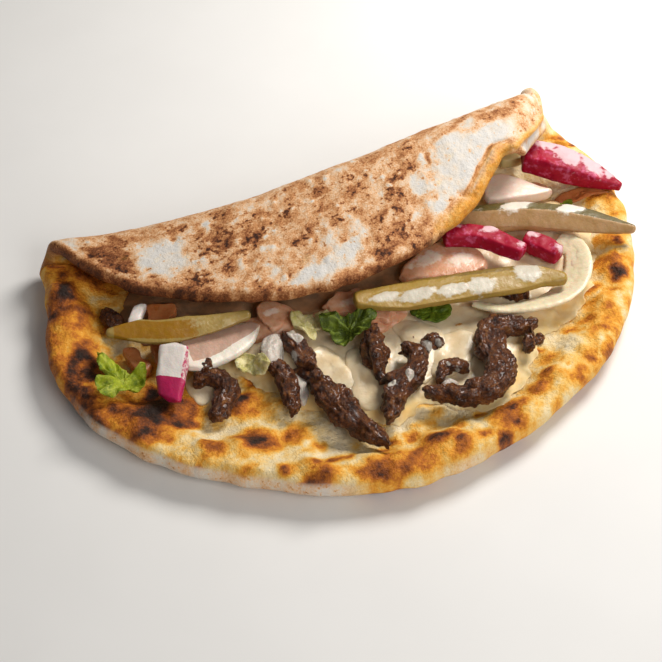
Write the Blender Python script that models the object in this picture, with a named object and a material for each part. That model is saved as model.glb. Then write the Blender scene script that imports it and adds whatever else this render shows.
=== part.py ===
"""A beef shawarma flatbread: a round of blistered flatbread folded over once, its front
half open, with melted cheese, strips of beef, pickles, turnip, onion, tomato and lettuce.

Lengths are in millimetres here and become metres when a mesh is made. X runs along the
fold, the open side faces -Y, and Z = 0 is the table. The filling is laid down piece by
piece: a Pile keeps the height of what already lies there, so that every new piece drapes
over it if it is soft, or tips and settles on it if it is stiff.
"""

import math

import bmesh
import bpy
import numpy as np
from mathutils import Euler, Matrix, Vector, noise
from mathutils.bvhtree import BVHTree

MM = 0.001
# Middle of the whole in the layout below: it is moved there when all is laid.
MIDDLE_X = -1.4
MIDDLE_Y = -0.1
GAP = 0.3
# What a degree of roll about a stiff piece's own length, and of tipping, counts for in height.
ROLLING = 0.15
TIPPING = 0.05

# ---------------------------------------------------------------- the flatbread
# The unfolded round: its centre on Y, and its radius at some bearings in degrees.
ROUND_Y = 47.0
ROUND_RADII = {
    8: 129, 15: 127, 22: 121, 31: 124, 40: 120, 52: 124, 62: 123, 77: 116, 90: 111, 106: 108,
    118: 108, 128: 112, 138: 120, 150: 127, 160: 129, 168: 127, 176: 126, 187: 134, 200: 140, 212: 140, 225: 137,
    238: 134, 250: 136, 263: 134, 280: 131, 295: 128, 310: 130, 330: 130, 345: 130, 357: 131,
}
ROUND_BLEND_DEG = 6.0
# The fold runs along X at this Y, bows backwards at both ends and rises to the right.
FOLD_Y = 57.5
FOLD_BOW_LEFT = 0.00106
FOLD_BOW_RIGHT = 0.0004
FOLD_HEIGHT = 36.5
FOLD_RISE = 12.5
FOLD_HALF_WIDTH = 125.0
# The flap droops more and more towards the right.
FLAP_CURL = 0.004
FLAP_CURL_GROWTH = 36.0
FLAP_CURL_MOST = 0.06
# At the right end of the fold the edge is turned down over the filling.
TUCK_BEARING = 38.0
TUCK_SPREAD = 14.0
TUCK_LENGTH = 19.0
TUCK_RADIUS = 9.0
TUCK_TURN = 1.35
BREAD_THICK = 5.5
RIM_EXTRA = 7.0
RIM_PEAK = 10.0
RIM_WIDTH = 8.5
RIM_ROUND = 7.0
RIM_LIFT = 2.0
FLAP_RIM_EXTRA = 1.0
FLAP_ROUND = 3.2
BREAD_TRIANGLES = 4700
# Blisters on the open half: (x, y, radius, height).
BLISTERS = (
    (-66, -44, 12, 3.2), (-50, -50, 9, 2.2), (-98, -20, 13, 3.0), (-112, 0, 10, 2.4),
    (-118, 36, 9, 1.8), (-50, -73, 8, 2.0), (-30, -72, 9, 2.4), (0, -68, 13, 3.0),
    (-15, -80, 8, 2.0), (24, -80, 8, 2.0), (40, -72, 9, 2.0), (108, -10, 7, 2.6),
    (96, -27, 8, 1.8), (76, -40, 10, 2.2), (62, -58, 9, 1.8), (-84, -44, 9, 2.4),
    (-36, -62, 8, 1.6), (-90, 10, 9, 2.2),
)

# ---------------------------------------------------------------- the filling, in plan
CHEESE_EDGE = (
    (-99, 40), (-96, 22), (-80, 8), (-60, -12), (-48, -26), (-44, -36), (-30, -41), (-20, -52),
    (-8, -54), (6, -50), (22, -62), (38, -59), (52, -46), (64, -32), (88, -22), (104, 2),
    (109, 26), (103, 46), (84, 60), (50, 64), (0, 62), (-50, 62), (-84, 60),
)
CHEESE_THIN = 2.1
CHEESE_DEEP = 2.0
# Strips of beef: route, widths along it, height.
BEEF_STRIPS = (
    (((-81, -9), (-74, -8), (-69, -13), (-70, -19), (-72, -25), (-75, -30)), (5, 8, 9, 11, 10), 8),
    (((-42, 1), (-46, -3), (-48, -9), (-47, -15), (-46, -24), (-47, -32), (-49, -38)),
     (8, 9, 8, 8, 8, 7), 7),
    (((-37, 1), (-35, -5), (-33, -11), (-31, -17)), (6, 7, 7, 6), 7),
    (((-36, -25), (-34, -30), (-32, -36), (-30, -43), (-28, -51), (-25, -58), (-22, -65),
      (-20, -70)), (7, 12, 14, 13, 9, 7, 4), 9),
    (((-2, -8), (-6, -15), (-8, -23), (-7, -30)), (7, 9, 11, 10), 9),
    (((3, -22), (7, -26), (7, -32), (1, -38), (-6, -42), (-9, -47), (-12, -52), (-15, -56)),
     (6, 8, 9, 11, 12, 10, 8, 6), 9),
    (((61, -29), (54, -27), (47, -25), (41, -27), (38, -32), (37, -39), (37, -47), (34, -53),
      (28, -57), (21, -57), (14, -54), (8, -50), (4, -47)), (7, 9, 12, 13, 12, 12, 12, 11, 8, 5), 9),
    (((12, -43), (16, -38), (21, -37), (25, -41)), (4, 6, 6, 5), 6),
    (((55, -33), (54, -37), (51, -41)), (6, 6, 4), 6),
    (((14, -27), (15, -21), (20, -19), (20, -25)), (4, 4, 4, 3), 3.5),
    (((46, 2), (53, -1), (59, -6), (62, -12)), (6, 8, 8, 5), 5),
    (((-105, 44), (-103, 37), (-101, 28)), (6, 8, 6), 5),
)
# Slices of tomato: outline, thickness.
TOMATO_SLICES = (
    (((-89, 37), (-77, 35), (-76, 28), (-82, 24), (-88, 28)), 4.0),
    (((-103, 18), (-98, 16), (-96, 8), (-98, 2), (-102, 5)), 5.0),
    (((-92, 18), (-86, 14), (-89, 4), (-93, 11)), 3.0),
    (((-46, 19), (-40, 21), (-32, 14), (-35, 7), (-43, 5), (-47, 11)), 4.0),
    (((-17, 14), (0, 14), (12, 6), (8, -4), (-2, -5), (-10, 1), (-17, 5)), 4.0),
    (((16, 15), (36, 28), (50, 25), (57, 12), (50, 5), (30, 8)), 5.0),
)
# Onion: the ring's route, its widths, heights and thickness, then slices as outline, thickness.
ONION_RING = (
    ((41, -9), (50, -16), (63, -20), (77, -20), (88, -13), (95, -2), (97, 9), (92, 15)),
    (4, 6, 8, 9, 10, 9, 7, 4), (3, 3.5, 5, 6, 6, 6, 5, 3), 2.4,
)
ONION_SLICES = (
    (((-78, 12), (-62, 13), (-49, 12), (-53, 4), (-62, -2), (-73, -5), (-82, -4), (-83, 5)), 3.2),
    (((74, 40), (77, 51), (85, 55), (91, 54), (96, 49), (101, 41), (92, 37)), 5.0),
    (((87, 66), (89, 72), (96, 71), (97, 65)), 5.0),
)
# Turnip sticks and pickle spears: route, widths, heights.
TURNIP_STICKS = (
    (((-84, 3), (-88, -5), (-94, -17)), (10, 11, 11, 10), (6, 7, 7, 7)),
    (((-94, 44), (-96, 34), (-97, 23)), (6, 6, 6), (5, 5, 5)),
    (((42, 25), (57, 20), (70, 6)), (8, 9, 9, 7), (8, 8, 8, 7)),
    (((76, 16), (81, 10), (86, 3)), (7, 9, 9, 8), (8, 8, 8, 8)),
    (((96, 61), (107, 53), (118, 43), (129, 31)), (14, 16, 14, 10, 3), (11, 12, 11, 8, 4)),
)
PICKLE_SPEARS = (
    (((-108, 21), (-97, 18), (-87, 14), (-75, 11), (-62, 8), (-51, 7)),
     (3, 10, 12, 12, 10, 6), (3, 5, 5, 5, 4, 3)),
    (((-7, 5), (10, 1), (28, -2), (54, -6), (73, -9), (81, -13)),
     (6, 11, 12, 13, 12, 5), (5, 7, 8, 8, 8, 4)),
    (((48, 42), (60, 36), (83, 27), (102, 16), (120, 1)),
     (6, 11, 12, 12, 10, 3), (6, 10, 11, 10, 7, 3)),
)
# Leaves: outline, centre, thickness, waviness.
GREEN_LEAVES = (
    (((-114, 18), (-109, 14), (-107, 6), (-103, 2), (-97, 4), (-98, -2), (-102, -8), (-110, -9),
      (-118, -11), (-120, -5), (-119, 0), (-113, 0), (-116, 6)), (-108, -2), 1.3, 1.6),
)
HERB_LEAVES = (
    (((-24, 3), (-17, 4), (-13, 0), (-10, -1), (-6, 0), (-1, -1), (-1, -7), (-7, -13), (-14, -13),
      (-20, -12), (-23, -5)), (-13, -8), 1.3, 2.0),
    (((17, 1), (22, 0), (30, -1), (33, -6), (30, -11), (24, -12), (18, -9), (15, -4)),
     (24, -6), 1.3, 0.8),
)
PALE_LEAVES = (
    (((-61, -3), (-57, -1), (-54, -6), (-51, -11), (-50, -16), (-54, -17), (-58, -14), (-63, -8)),
     (-56, -9), 1.5, 1.2),
    (((-29, 10), (-21, 8), (-18, 4), (-24, 0), (-29, 2)), (-24, 5), 2.0, 0.6),
    (((-34, 9), (-29, 10), (-26, -3), (-30, -5), (-34, 2)), (-30, 2), 2.0, 0.4),
)

# ---------------------------------------------------------------- colours (R, G, B, roughness)
BREAD = (0.72, 0.47, 0.22, 0.75)
CHEESE = (0.85, 0.76, 0.56, 0.35)
BEEF = (0.10, 0.045, 0.028, 0.4)
PICKLE = (0.42, 0.36, 0.09, 0.35)
TURNIP = (0.55, 0.03, 0.12, 0.35)
TURNIP_WHITE = (0.78, 0.68, 0.62, 0.4)
ONION = (0.82, 0.75, 0.60, 0.35)
TOMATO = (0.62, 0.28, 0.16, 0.35)
GREEN = (0.16, 0.30, 0.02, 0.45)
HERB = (0.035, 0.10, 0.01, 0.45)
PALE_LEAF = (0.70, 0.66, 0.32, 0.45)


def smooth_step(value):
    value = np.clip(value, 0.0, 1.0)
    return value * value * (3.0 - 2.0 * value)


def lumps(x, y, scale, seed):
    """Smooth noise from about -1 to 1 over a plane, its lumps `scale` millimetres apart."""
    flat = zip(np.ravel(x), np.ravel(y))
    made = [noise.noise(Vector((a / scale, b / scale, seed * 7.31))) for a, b in flat]
    return np.array(made).reshape(np.shape(x))


def curve_through(points, count, closed=False):
    """`count` points evenly spread on a smooth curve (Catmull-Rom) through `points`."""
    points = np.array(points, float)
    if closed:
        padded = np.vstack([points[-1], points, points[0], points[1]])
    else:
        padded = np.vstack([2 * points[0] - points[1], points, 2 * points[-1] - points[-2]])
    dense = []
    for before, start, end, after in zip(padded, padded[1:], padded[2:], padded[3:]):
        for t in np.arange(0.0, 1.0, 0.05):
            dense.append(0.5 * (2 * start + (end - before) * t
                                + (2 * before - 5 * start + 4 * end - after) * t * t
                                + (3 * start - before - 3 * end + after) * t ** 3))
    dense.append(points[0] if closed else points[-1])
    dense = np.array(dense)
    along = np.concatenate([[0.0], np.cumsum(np.linalg.norm(np.diff(dense, axis=0), axis=1))])
    wanted = np.linspace(0.0, along[-1], count, endpoint=not closed)
    return np.stack([np.interp(wanted, along, axis) for axis in dense.T], axis=1)


def spread(values, count):
    """`count` numbers read evenly along a short list of values."""
    return np.interp(np.linspace(0, 1, count), np.linspace(0, 1, len(values)), values)


# ---------------------------------------------------------------- bodies
def skin_over(body, loops):
    """Joins loops of vertices by triangles whose diagonals all run the same way."""
    for outer, inner in zip(loops, loops[1:]):
        for k in range(len(outer)):
            body.faces.new((outer[k - 1], outer[k], inner[k]))
            body.faces.new((outer[k - 1], inner[k], inner[k - 1]))


def cap(body, loop, tip=None):
    """Closes a loop by a fan of triangles, pulled out to `tip` if one is given."""
    poked = bmesh.ops.poke(body, faces=[body.faces.new(loop)])
    if tip is not None:
        poked["verts"][0].co = tip


def tube_body(rings, tips):
    """A closed body over a row of rings, with a tip at both ends."""
    body = bmesh.new()
    loops = [[body.verts.new(point) for point in ring] for ring in rings]
    skin_over(body, loops)
    cap(body, loops[0], tips[0])
    cap(body, loops[-1], tips[1])
    bmesh.ops.recalc_face_normals(body, faces=body.faces)
    return body


def sheet_body(edge, upper, lower):
    """A closed sheet: upper rings and lower rings, both counted inwards from one shared edge."""
    body = bmesh.new()
    rim = [body.verts.new(point) for point in edge]
    for side in (upper, lower):
        loops = [rim] + [[body.verts.new(point) for point in ring] for ring in side]
        skin_over(body, loops)
        cap(body, loops[-1])
    bmesh.ops.recalc_face_normals(body, faces=body.faces)
    return body


def points_of(body):
    return np.array([vertex.co for vertex in body.verts])


def samples_of(body, apart=2.5):
    """The body's vertices and points at most `apart` along its edges."""
    spots = [vertex.co for vertex in body.verts]
    for edge in body.edges:
        first, last = (vertex.co for vertex in edge.verts)
        count = math.ceil(edge.calc_length() / apart)
        spots += [first.lerp(last, k / count) for k in range(1, count)]
    return np.array(spots)


def material(name, look):
    made = bpy.data.materials.get(name)
    if made is None:
        made = bpy.data.materials.new(name)
        made.use_nodes = True
        shader = made.node_tree.nodes["Principled BSDF"]
        shader.inputs["Base Color"].default_value = (*look[:3], 1.0)
        shader.inputs["Roughness"].default_value = look[3]
        shader.inputs["Metallic"].default_value = 0.0
    return made


def add_object(name, body, kind, look, whole, turn=None):
    """Makes the body an object with its origin at its middle; `turn` is how it has been tipped."""
    middle = Vector(points_of(body).mean(axis=0))
    bmesh.ops.translate(body, verts=body.verts, vec=-middle)
    if turn is not None:
        bmesh.ops.rotate(body, verts=body.verts, matrix=turn.inverted())
    bmesh.ops.scale(body, verts=body.verts, vec=(MM, MM, MM))
    mesh = bpy.data.meshes.new(name)
    body.to_mesh(mesh)
    body.free()
    mesh.materials.append(material(kind, look))
    mesh.shade_smooth()
    mesh.set_sharp_from_angle(angle=math.radians(60))
    made = bpy.data.objects.new(name, mesh)
    made.location = middle * MM
    if turn is not None:
        made.rotation_euler = turn.to_euler()
    made.parent = whole
    bpy.context.scene.collection.objects.link(made)
    return made


# ---------------------------------------------------------------- the flatbread's shape
def round_radius(bearing):
    """Radius of the unfolded round at a bearing, smoothed between the bearings it is given at."""
    degrees = np.arange(360)
    named = sorted(ROUND_RADII.items())
    radii = np.interp(degrees, [k for k, _ in named], [v for _, v in named], period=360)
    near = np.exp(-(np.minimum(degrees, 360 - degrees) / ROUND_BLEND_DEG) ** 2)
    smoothed = np.real(np.fft.ifft(np.fft.fft(radii) * np.fft.fft(near / near.sum())))
    return np.interp(np.degrees(bearing) % 360, degrees, smoothed, period=360)


def tuck_share(bearing):
    """How much of the turned-down corner there is at a bearing: 1 in its middle."""
    away = (np.degrees(bearing) % 360 - TUCK_BEARING) / TUCK_SPREAD
    return smooth_step(1.6 - 1.6 * np.abs(away))


def fold_line(x):
    return FOLD_Y + np.where(x < 0, FOLD_BOW_LEFT, FOLD_BOW_RIGHT) * x * x


def fold_height(x):
    share = np.clip(x / FOLD_HALF_WIDTH, -1.0, 1.0)
    return FOLD_HEIGHT + FOLD_RISE * np.sin(share * math.pi / 2)


def bread_spot(bearing, reach):
    """Where a spot of the unfolded round lies once folded.

    Gives the point on the outer skin, the direction through the bread to its filled side,
    the direction away from the round's centre, and how far the spot is onto the flap, from
    0 on the open half to 1 past the bend."""
    x = reach * np.cos(bearing)
    t = ROUND_Y + reach * np.sin(bearing)
    line = fold_line(x)
    outer = fold_height(x) / 2
    middle = outer - BREAD_THICK / 2
    past = t - line
    turn = np.clip(past / middle, 0.0, math.pi)
    run = np.maximum(past - math.pi * middle, 0.0)
    curl = np.minimum(FLAP_CURL * np.exp(x / FLAP_CURL_GROWTH), FLAP_CURL_MOST)
    tip = np.minimum(curl * run, 1.35)
    y = np.where(past < 0, t, line + outer * np.sin(turn) - np.sin(tip) / curl)
    z = outer * (1 - np.cos(turn)) - (1 - np.cos(tip)) / curl
    lean = turn + tip
    skin = np.stack([x, y, z], axis=-1)
    inwards = np.stack([np.zeros_like(x), -np.sin(lean), np.cos(lean)], axis=-1)
    outwards = np.stack([np.cos(bearing), np.sin(bearing) * np.cos(lean),
                         np.sin(bearing) * np.sin(lean)], axis=-1)
    return skin, inwards, outwards, smooth_step(turn / math.pi)


def blister_height(x, y):
    total = np.zeros_like(x)
    for centre_x, centre_y, radius, height in BLISTERS:
        away = ((x - centre_x) ** 2 + (y - centre_y) ** 2) / radius ** 2
        total = np.maximum(total, height * np.exp(-1.6 * away))
    return total


def bread_surface(bearing, inset, side):
    """Points of the bread's filled side (side 1) or outer side (side -1), `inset` from its edge."""
    tuck = tuck_share(bearing)
    plain = round_radius(bearing) - 5.0 * tuck
    reach = plain + (5.0 + TUCK_LENGTH) * tuck - inset
    beyond = np.maximum(reach - plain, 0.0)
    skin, inwards, outwards, flap = bread_spot(bearing, np.minimum(reach, plain))
    bend = np.minimum(beyond / TUCK_RADIUS, TUCK_TURN * tuck)
    straight = beyond - bend * TUCK_RADIUS
    ahead = TUCK_RADIUS * np.sin(bend) + straight * np.cos(bend)
    down = TUCK_RADIUS * (1 - np.cos(bend)) + straight * np.sin(bend)
    skin = skin + outwards * ahead[..., None] + inwards * down[..., None]
    inwards = inwards * np.cos(bend)[..., None] - outwards * np.sin(bend)[..., None]
    rim = np.where(inset < RIM_PEAK, 1.0, np.exp(-((inset - RIM_PEAK) / RIM_WIDTH) ** 2))
    extra = RIM_EXTRA + (FLAP_RIM_EXTRA - RIM_EXTRA) * flap
    thick = BREAD_THICK + rim * extra * (1 - tuck)
    rounding = RIM_ROUND + (FLAP_ROUND - RIM_ROUND) * np.maximum(flap, tuck)
    shy = np.clip(1 - inset / rounding, 0.0, 1.0)
    fullness = np.sqrt(1 - shy ** 2)
    lift = RIM_LIFT * (1 - flap) * np.exp(-(inset / 6.0) ** 2)
    depth = lift + thick / 2 * (1 + side * fullness)
    flat_x = reach * np.cos(bearing)
    flat_t = ROUND_Y + reach * np.sin(bearing)
    if side > 0:
        swell = blister_height(skin[..., 0], skin[..., 1]) + 0.7 * lumps(flat_x, flat_t, 17.0, 1)
        depth = depth + swell * (1 - flap) * smooth_step(inset / 8.0)
    else:
        depth = depth - 0.8 * lumps(flat_x, flat_t, 40.0, 2) * flap * smooth_step(inset / 12.0)
    return skin + inwards * depth[..., None]


def make_flatbread(whole):
    steps = 192
    bearing = np.linspace(0.0, math.tau, steps, endpoint=False)
    near_edge = [0.5, 1.6, 3.4, 6.0, 9.5, 13.5, 18.0]

    def ring(inset, side):
        return bread_surface(bearing, np.full(steps, float(inset)), side)

    upper = [ring(inset, 1) for inset in [*near_edge, *np.arange(23.0, 105.0, 5.5)]]
    lower = [ring(inset, -1) for inset in [*near_edge, *np.arange(24.0, 105.0, 7.0)]]
    body = sheet_body(ring(0.0, 1), upper, lower)
    share = BREAD_TRIANGLES / len(body.faces)
    bread = add_object("flatbread", body, "bread", BREAD, whole)
    fewer = bread.modifiers.new("fewer faces", "DECIMATE")
    fewer.ratio = share
    return bread


def evaluated_tree(made):
    """Search tree of an object as its modifiers leave it, in millimetres."""
    bpy.context.view_layer.update()
    body = bmesh.new()
    body.from_object(made, bpy.context.evaluated_depsgraph_get())
    body.transform(Matrix.Scale(1 / MM, 4) @ made.matrix_world)
    tree = BVHTree.FromBMesh(body)
    body.free()
    return tree


# ---------------------------------------------------------------- the pile of filling
def widened(heights, take):
    """Each cell's highest or lowest neighbour, itself included; `take` is np.maximum or minimum."""
    padded = np.pad(heights, 1, mode="edge")
    made = heights
    for a in range(3):
        for b in range(3):
            made = take(made, padded[a:a + heights.shape[0], b:b + heights.shape[1]])
    return made


class Pile:
    """Heights of what lies on the bread's open half, and of the flap above it, on a grid."""

    STEP = 1.0
    LOW = np.array([-141.0, -96.0])
    HIGH = np.array([150.0, 99.0])

    def __init__(self, bread, whole):
        self.whole = whole
        self.xs = np.arange(self.LOW[0], self.HIGH[0], self.STEP)
        self.ys = np.arange(self.LOW[1], self.HIGH[1], self.STEP)
        self.top = np.zeros((len(self.xs), len(self.ys)))
        roof = np.full_like(self.top, 500.0)
        self.solids = [evaluated_tree(bread)]
        for i, x in enumerate(self.xs):
            for j, y in enumerate(self.ys):
                heights = self.crossings(x, y)
                if len(heights) >= 4:
                    self.top[i, j], roof[i, j] = heights[1], heights[2]
                elif heights:
                    self.top[i, j] = heights[-1]
        self.roof = widened(roof, np.minimum)
        self.floor_grid = widened(self.top, np.maximum)
        self.bed_grid = self.floor_grid

    def crossings(self, x, y):
        """Heights at which a plumb line at x, y passes through the bread's surface."""
        heights = []
        start = -5.0
        for _ in range(4):
            spot = self.solids[0].ray_cast((x, y, start), (0, 0, 1))[0]
            if spot is None:
                break
            heights.append(spot.z)
            start = spot.z + 0.01
        return heights

    def cells(self, x, y):
        i = np.clip(np.rint((x - self.LOW[0]) / self.STEP).astype(int), 0, len(self.xs) - 1)
        j = np.clip(np.rint((y - self.LOW[1]) / self.STEP).astype(int), 0, len(self.ys) - 1)
        return i, j

    def floor(self, x, y):
        return self.floor_grid[self.cells(x, y)]

    def ceiling(self, x, y):
        return self.roof[self.cells(x, y)]

    def touches(self, body):
        """Places where the body comes closer than the gap to what lies there, and the way out.

        The way out is up, except at the flap."""
        body.normal_update()
        body.verts.index_update()
        grown = [vertex.co + vertex.normal * GAP for vertex in body.verts]
        faces = [[vertex.index for vertex in face.verts] for face in body.faces]
        tree = BVHTree.FromPolygons(grown, faces)
        ways = {}
        for solid in self.solids:
            for own, _ in tree.overlap(solid):
                for number in faces[own]:
                    ways[number] = 1.0
                    if solid is self.solids[0] and grown[number].z > self.waist(grown[number]):
                        ways[number] = -1.0
        numbers = sorted(ways)
        return points_of(body)[numbers, :2], np.array([ways[number] for number in numbers])

    def waist(self, spot):
        """The height halfway between the bread below a spot and the flap above it."""
        cell = self.cells(np.array(spot.x), np.array(spot.y))
        return (self.bed_grid[cell] + self.roof[cell]) / 2

    def lay(self, name, body, kind, look, soft=0.0, turn=None):
        """Moves the body clear of what it touches, adds it, and notes its height.

        A soft body gives way only near the touch, within `soft` millimetres."""
        for _ in range(60):
            spots, ways = self.touches(body)
            if not len(ways):
                break
            points = points_of(body)
            share = 1.0
            if soft:
                away = np.linalg.norm(points[:, None, :2] - spots[None, :, :2], axis=2)
                ways = ways[away.argmin(axis=1)]
                share = np.exp(-(away.min(axis=1) / soft) ** 2)
            push = 0.15 * share * (ways if soft else np.full(len(points), ways.max()))
            for vertex, rise in zip(body.verts, push):
                vertex.co.z += rise
        else:
            print("still touching:", name)
        tree = BVHTree.FromBMesh(body)
        self.solids.append(tree)
        points = points_of(body)
        low_i, low_j = self.cells(*points[:, :2].min(axis=0))
        high_i, high_j = self.cells(*points[:, :2].max(axis=0))
        for i in range(low_i, high_i + 1):
            for j in range(low_j, high_j + 1):
                spot = tree.ray_cast((self.xs[i], self.ys[j], 300.0), (0, 0, -1))[0]
                if spot is not None:
                    self.top[i, j] = max(self.top[i, j], spot.z)
        self.floor_grid = widened(self.top, np.maximum)
        return add_object(name, body, kind, look, self.whole, turn)

    def settle(self, name, body, kind, look, steepest=24):
        """Tips and lowers a stiff body to where it rests lowest below the flap, and lays it."""
        middle = points_of(body).mean(axis=0)
        local = samples_of(body) - middle
        across, along = np.linalg.eigh(np.cov(local[:, :2].T))[1].T
        best = (math.inf, 0.0, 0, 0)
        for step, reach in ((6, steepest), (2, 6)):
            _, _, about_x, about_y = best
            for roll in range(about_x - reach, about_x + reach + 1, step):
                for pitch in range(about_y - reach, about_y + reach + 1, step):
                    turn = Euler((math.radians(roll), math.radians(pitch), 0)).to_matrix()
                    tipped = local @ np.array(turn).T
                    x, y = (tipped[:, :2] + middle[:2]).T
                    height = (self.floor(x, y) + GAP - tipped[:, 2]).max()
                    squeeze = (tipped[:, 2] + height + GAP - self.ceiling(x, y)).max()
                    cost = height + 4 * max(0.0, squeeze)
                    cost += ROLLING * abs(along @ (roll, pitch)) + TIPPING * abs(across @ (roll, pitch))
                    if cost < best[0] - 1e-6:
                        best = (cost, height, roll, pitch)
        _, height, roll, pitch = best
        turn = Euler((math.radians(roll), math.radians(pitch), 0)).to_matrix()
        bmesh.ops.translate(body, verts=body.verts, vec=-Vector(middle))
        bmesh.ops.rotate(body, verts=body.verts, matrix=turn)
        bmesh.ops.translate(body, verts=body.verts, vec=(*middle[:2], height))
        return self.lay(name, body, kind, look, turn=turn)


def taut(needed, rounds=12):
    """A line of heights stretched over `needed` ones: never lower, and smooth in between."""
    heights = needed.copy()
    for _ in range(rounds):
        padded = np.concatenate([heights[:1], heights, heights[-1:]])
        heights = np.maximum(needed, (heights + (padded[:-2] + padded[2:]) / 2) / 2)
    return heights


# ---------------------------------------------------------------- kinds of piece
def sweep(route, sections, heights, point_out=0.5):
    """A body along a flat route; each section is an array of (leftwards, upwards) points."""
    path = curve_through(route, len(sections))
    along = np.gradient(path, axis=0)
    along /= np.linalg.norm(along, axis=1)[:, None]
    left = np.stack([-along[:, 1], along[:, 0]], axis=1)
    rings = []
    for k, section in enumerate(sections):
        plan = path[k] + section[:, :1] * left[k]
        rings.append(np.column_stack([plan, heights[k] + section[:, 1]]))
    tips = []
    for k, sign in ((0, -1.0), (-1, 1.0)):
        reach = point_out * np.abs(sections[k][:, 0]).max()
        tips.append((*(rings[k].mean(axis=0)[:2] + sign * reach * along[k]), rings[k][:, 2].mean()))
    return tube_body(rings, tips)


def rounded(half_width, half_height, sides, squareness, share, seed, rough):
    """A section between an oval (squareness 1) and a box (0), with a rough outline."""
    turns = np.linspace(0.0, math.tau, sides, endpoint=False) + math.pi / sides
    bump = 1 + rough * lumps(np.full(sides, share * 30.0), turns * 4.0, 2.6, seed)
    across = np.sign(np.cos(turns)) * np.abs(np.cos(turns)) ** squareness
    upward = np.sign(np.sin(turns)) * np.abs(np.sin(turns)) ** squareness
    return np.column_stack([across * half_width * bump, upward * half_height * bump])


def make_strip(pile, name, route, widths, height, seed):
    """A strip of beef: a lumpy tube with tapered ends, draped along its route."""
    count = max(7, round(1.8 * len(route)))
    share = np.linspace(0.0, 1.0, count)
    blunt = 0.25 + 0.75 * np.sqrt(np.clip(1 - (2 * share - 1) ** 8, 0.0, 1.0))
    half = spread(widths, count) / 2 * blunt
    tall = spread([0.7, 1, 1, 1, 0.7], count) * height / 2
    sections = [rounded(half[k], tall[k], 9, 0.8, share[k], seed, 0.3) for k in range(count)]
    path = curve_through(route, count)
    needed = []
    for k in range(count):
        turns = np.linspace(0.0, math.tau, 8, endpoint=False)
        spots = path[k] + 0.75 * half[k] * np.column_stack([np.cos(turns), np.sin(turns)])
        needed.append(pile.floor(*spots.T).max() + tall[k] + GAP)
    body = sweep(route, sections, taut(np.array(needed)))
    pile.lay(name, body, "beef", BEEF, soft=8.0)


def make_bar(route, widths, heights, squareness, seed, count=10, sides=10, point_out=0.35):
    """A stiff bar along a flat route: a pickle spear or a stick of turnip."""
    half = spread(widths, count) / 2
    tall = spread(heights, count) / 2
    share = np.linspace(0.0, 1.0, count)
    sections = [rounded(half[k], tall[k], sides, squareness, share[k], seed, 0.12)
                for k in range(count)]
    return sweep(route, sections, np.zeros(count), point_out)


def make_band(route, widths, heights, thick, count=18):
    """An onion ring's band, its outer edge high and its inner edge low."""
    sections = []
    for width, height in zip(spread(widths, count), spread(heights, count)):
        outer = np.array([-width / 2 + thick / 2, height - thick / 2])
        inner = np.array([width / 2 - thick / 2, thick / 2])
        down = (inner - outer) / np.linalg.norm(inner - outer)
        side = np.array([-down[1], down[0]]) * thick / 2
        middle = (outer + inner) / 2
        sections.append(np.array([outer + side, middle + side, inner + side,
                                  inner + down * thick / 2, inner - side, middle - side,
                                  outer - side, outer - down * thick / 2]))
    return sweep(route, sections, np.zeros(count), 0.1)


def make_slice(outline, thick, edge_points=20, crown=0.06):
    """A flat slice with a rounded edge."""
    edge_line = curve_through(outline, edge_points, closed=True)
    centre = edge_line.mean(axis=0)

    def ring(share, height):
        return np.column_stack([centre + share * (edge_line - centre), np.full(edge_points, height)])

    size = np.linalg.norm(edge_line - centre, axis=1).mean()
    upper = [ring(share, thick + crown * size * (1 - share)) for share in (0.93, 0.6)]
    lower = [ring(0.93, 0.0)]
    return sheet_body(ring(1.0, thick / 2), upper, lower)


def draped(pile, outline, centre, thick, shares, edge_points, wave=0.0, wave_size=9.0, seed=0):
    """A soft sheet over what lies there; `thick` is a function of x, y."""
    edge_line = curve_through(outline, edge_points, closed=True)
    shares = np.array([1.0, *shares])
    spots = centre + shares[:, None, None] * (edge_line - centre)
    x, y = spots[..., 0], spots[..., 1]
    needed = pile.floor(x, y) + GAP
    under = needed.copy()
    for _ in range(8):
        inner = np.vstack([under[:1], under[:-1]])
        outer = np.vstack([under[1:], under[-1:]])
        around = (inner + outer + np.roll(under, 1, axis=1) + np.roll(under, -1, axis=1)) / 4
        under = np.maximum(needed, around)
    under = under + wave * (1 + lumps(x, y, wave_size, seed)) * (0.3 + 0.7 * shares[:, None])
    body = thick(x, y)
    over = under + body
    edge = np.column_stack([x[0], y[0], under[0] + body[0] / 2])
    upper = [np.column_stack([x[k], y[k], over[k]]) for k in range(1, len(shares))]
    lower = [np.column_stack([x[k], y[k], under[k]]) for k in range(1, len(shares))]
    return sheet_body(edge, upper, lower)


def cheese_depth(x, y):
    """Thin and lobed at its front edge, deeper in the fold, where it carries the salad."""
    deep = smooth_step((y + 8.0) / 26.0) * smooth_step((x + 100.0) / 60.0)
    return CHEESE_THIN + 0.5 * lumps(x, y, 22.0, 3) + CHEESE_DEEP * deep


def make_leaf(pile, name, leaf, kind, look, seed):
    outline, centre, thick, wave = leaf
    body = draped(pile, outline, np.array(centre, float), lambda x, y: np.full(x.shape, thick),
                  (0.85, 0.45), 24, wave, 7.0, seed)
    pile.lay(name, body, kind, look, soft=6.0)


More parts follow.
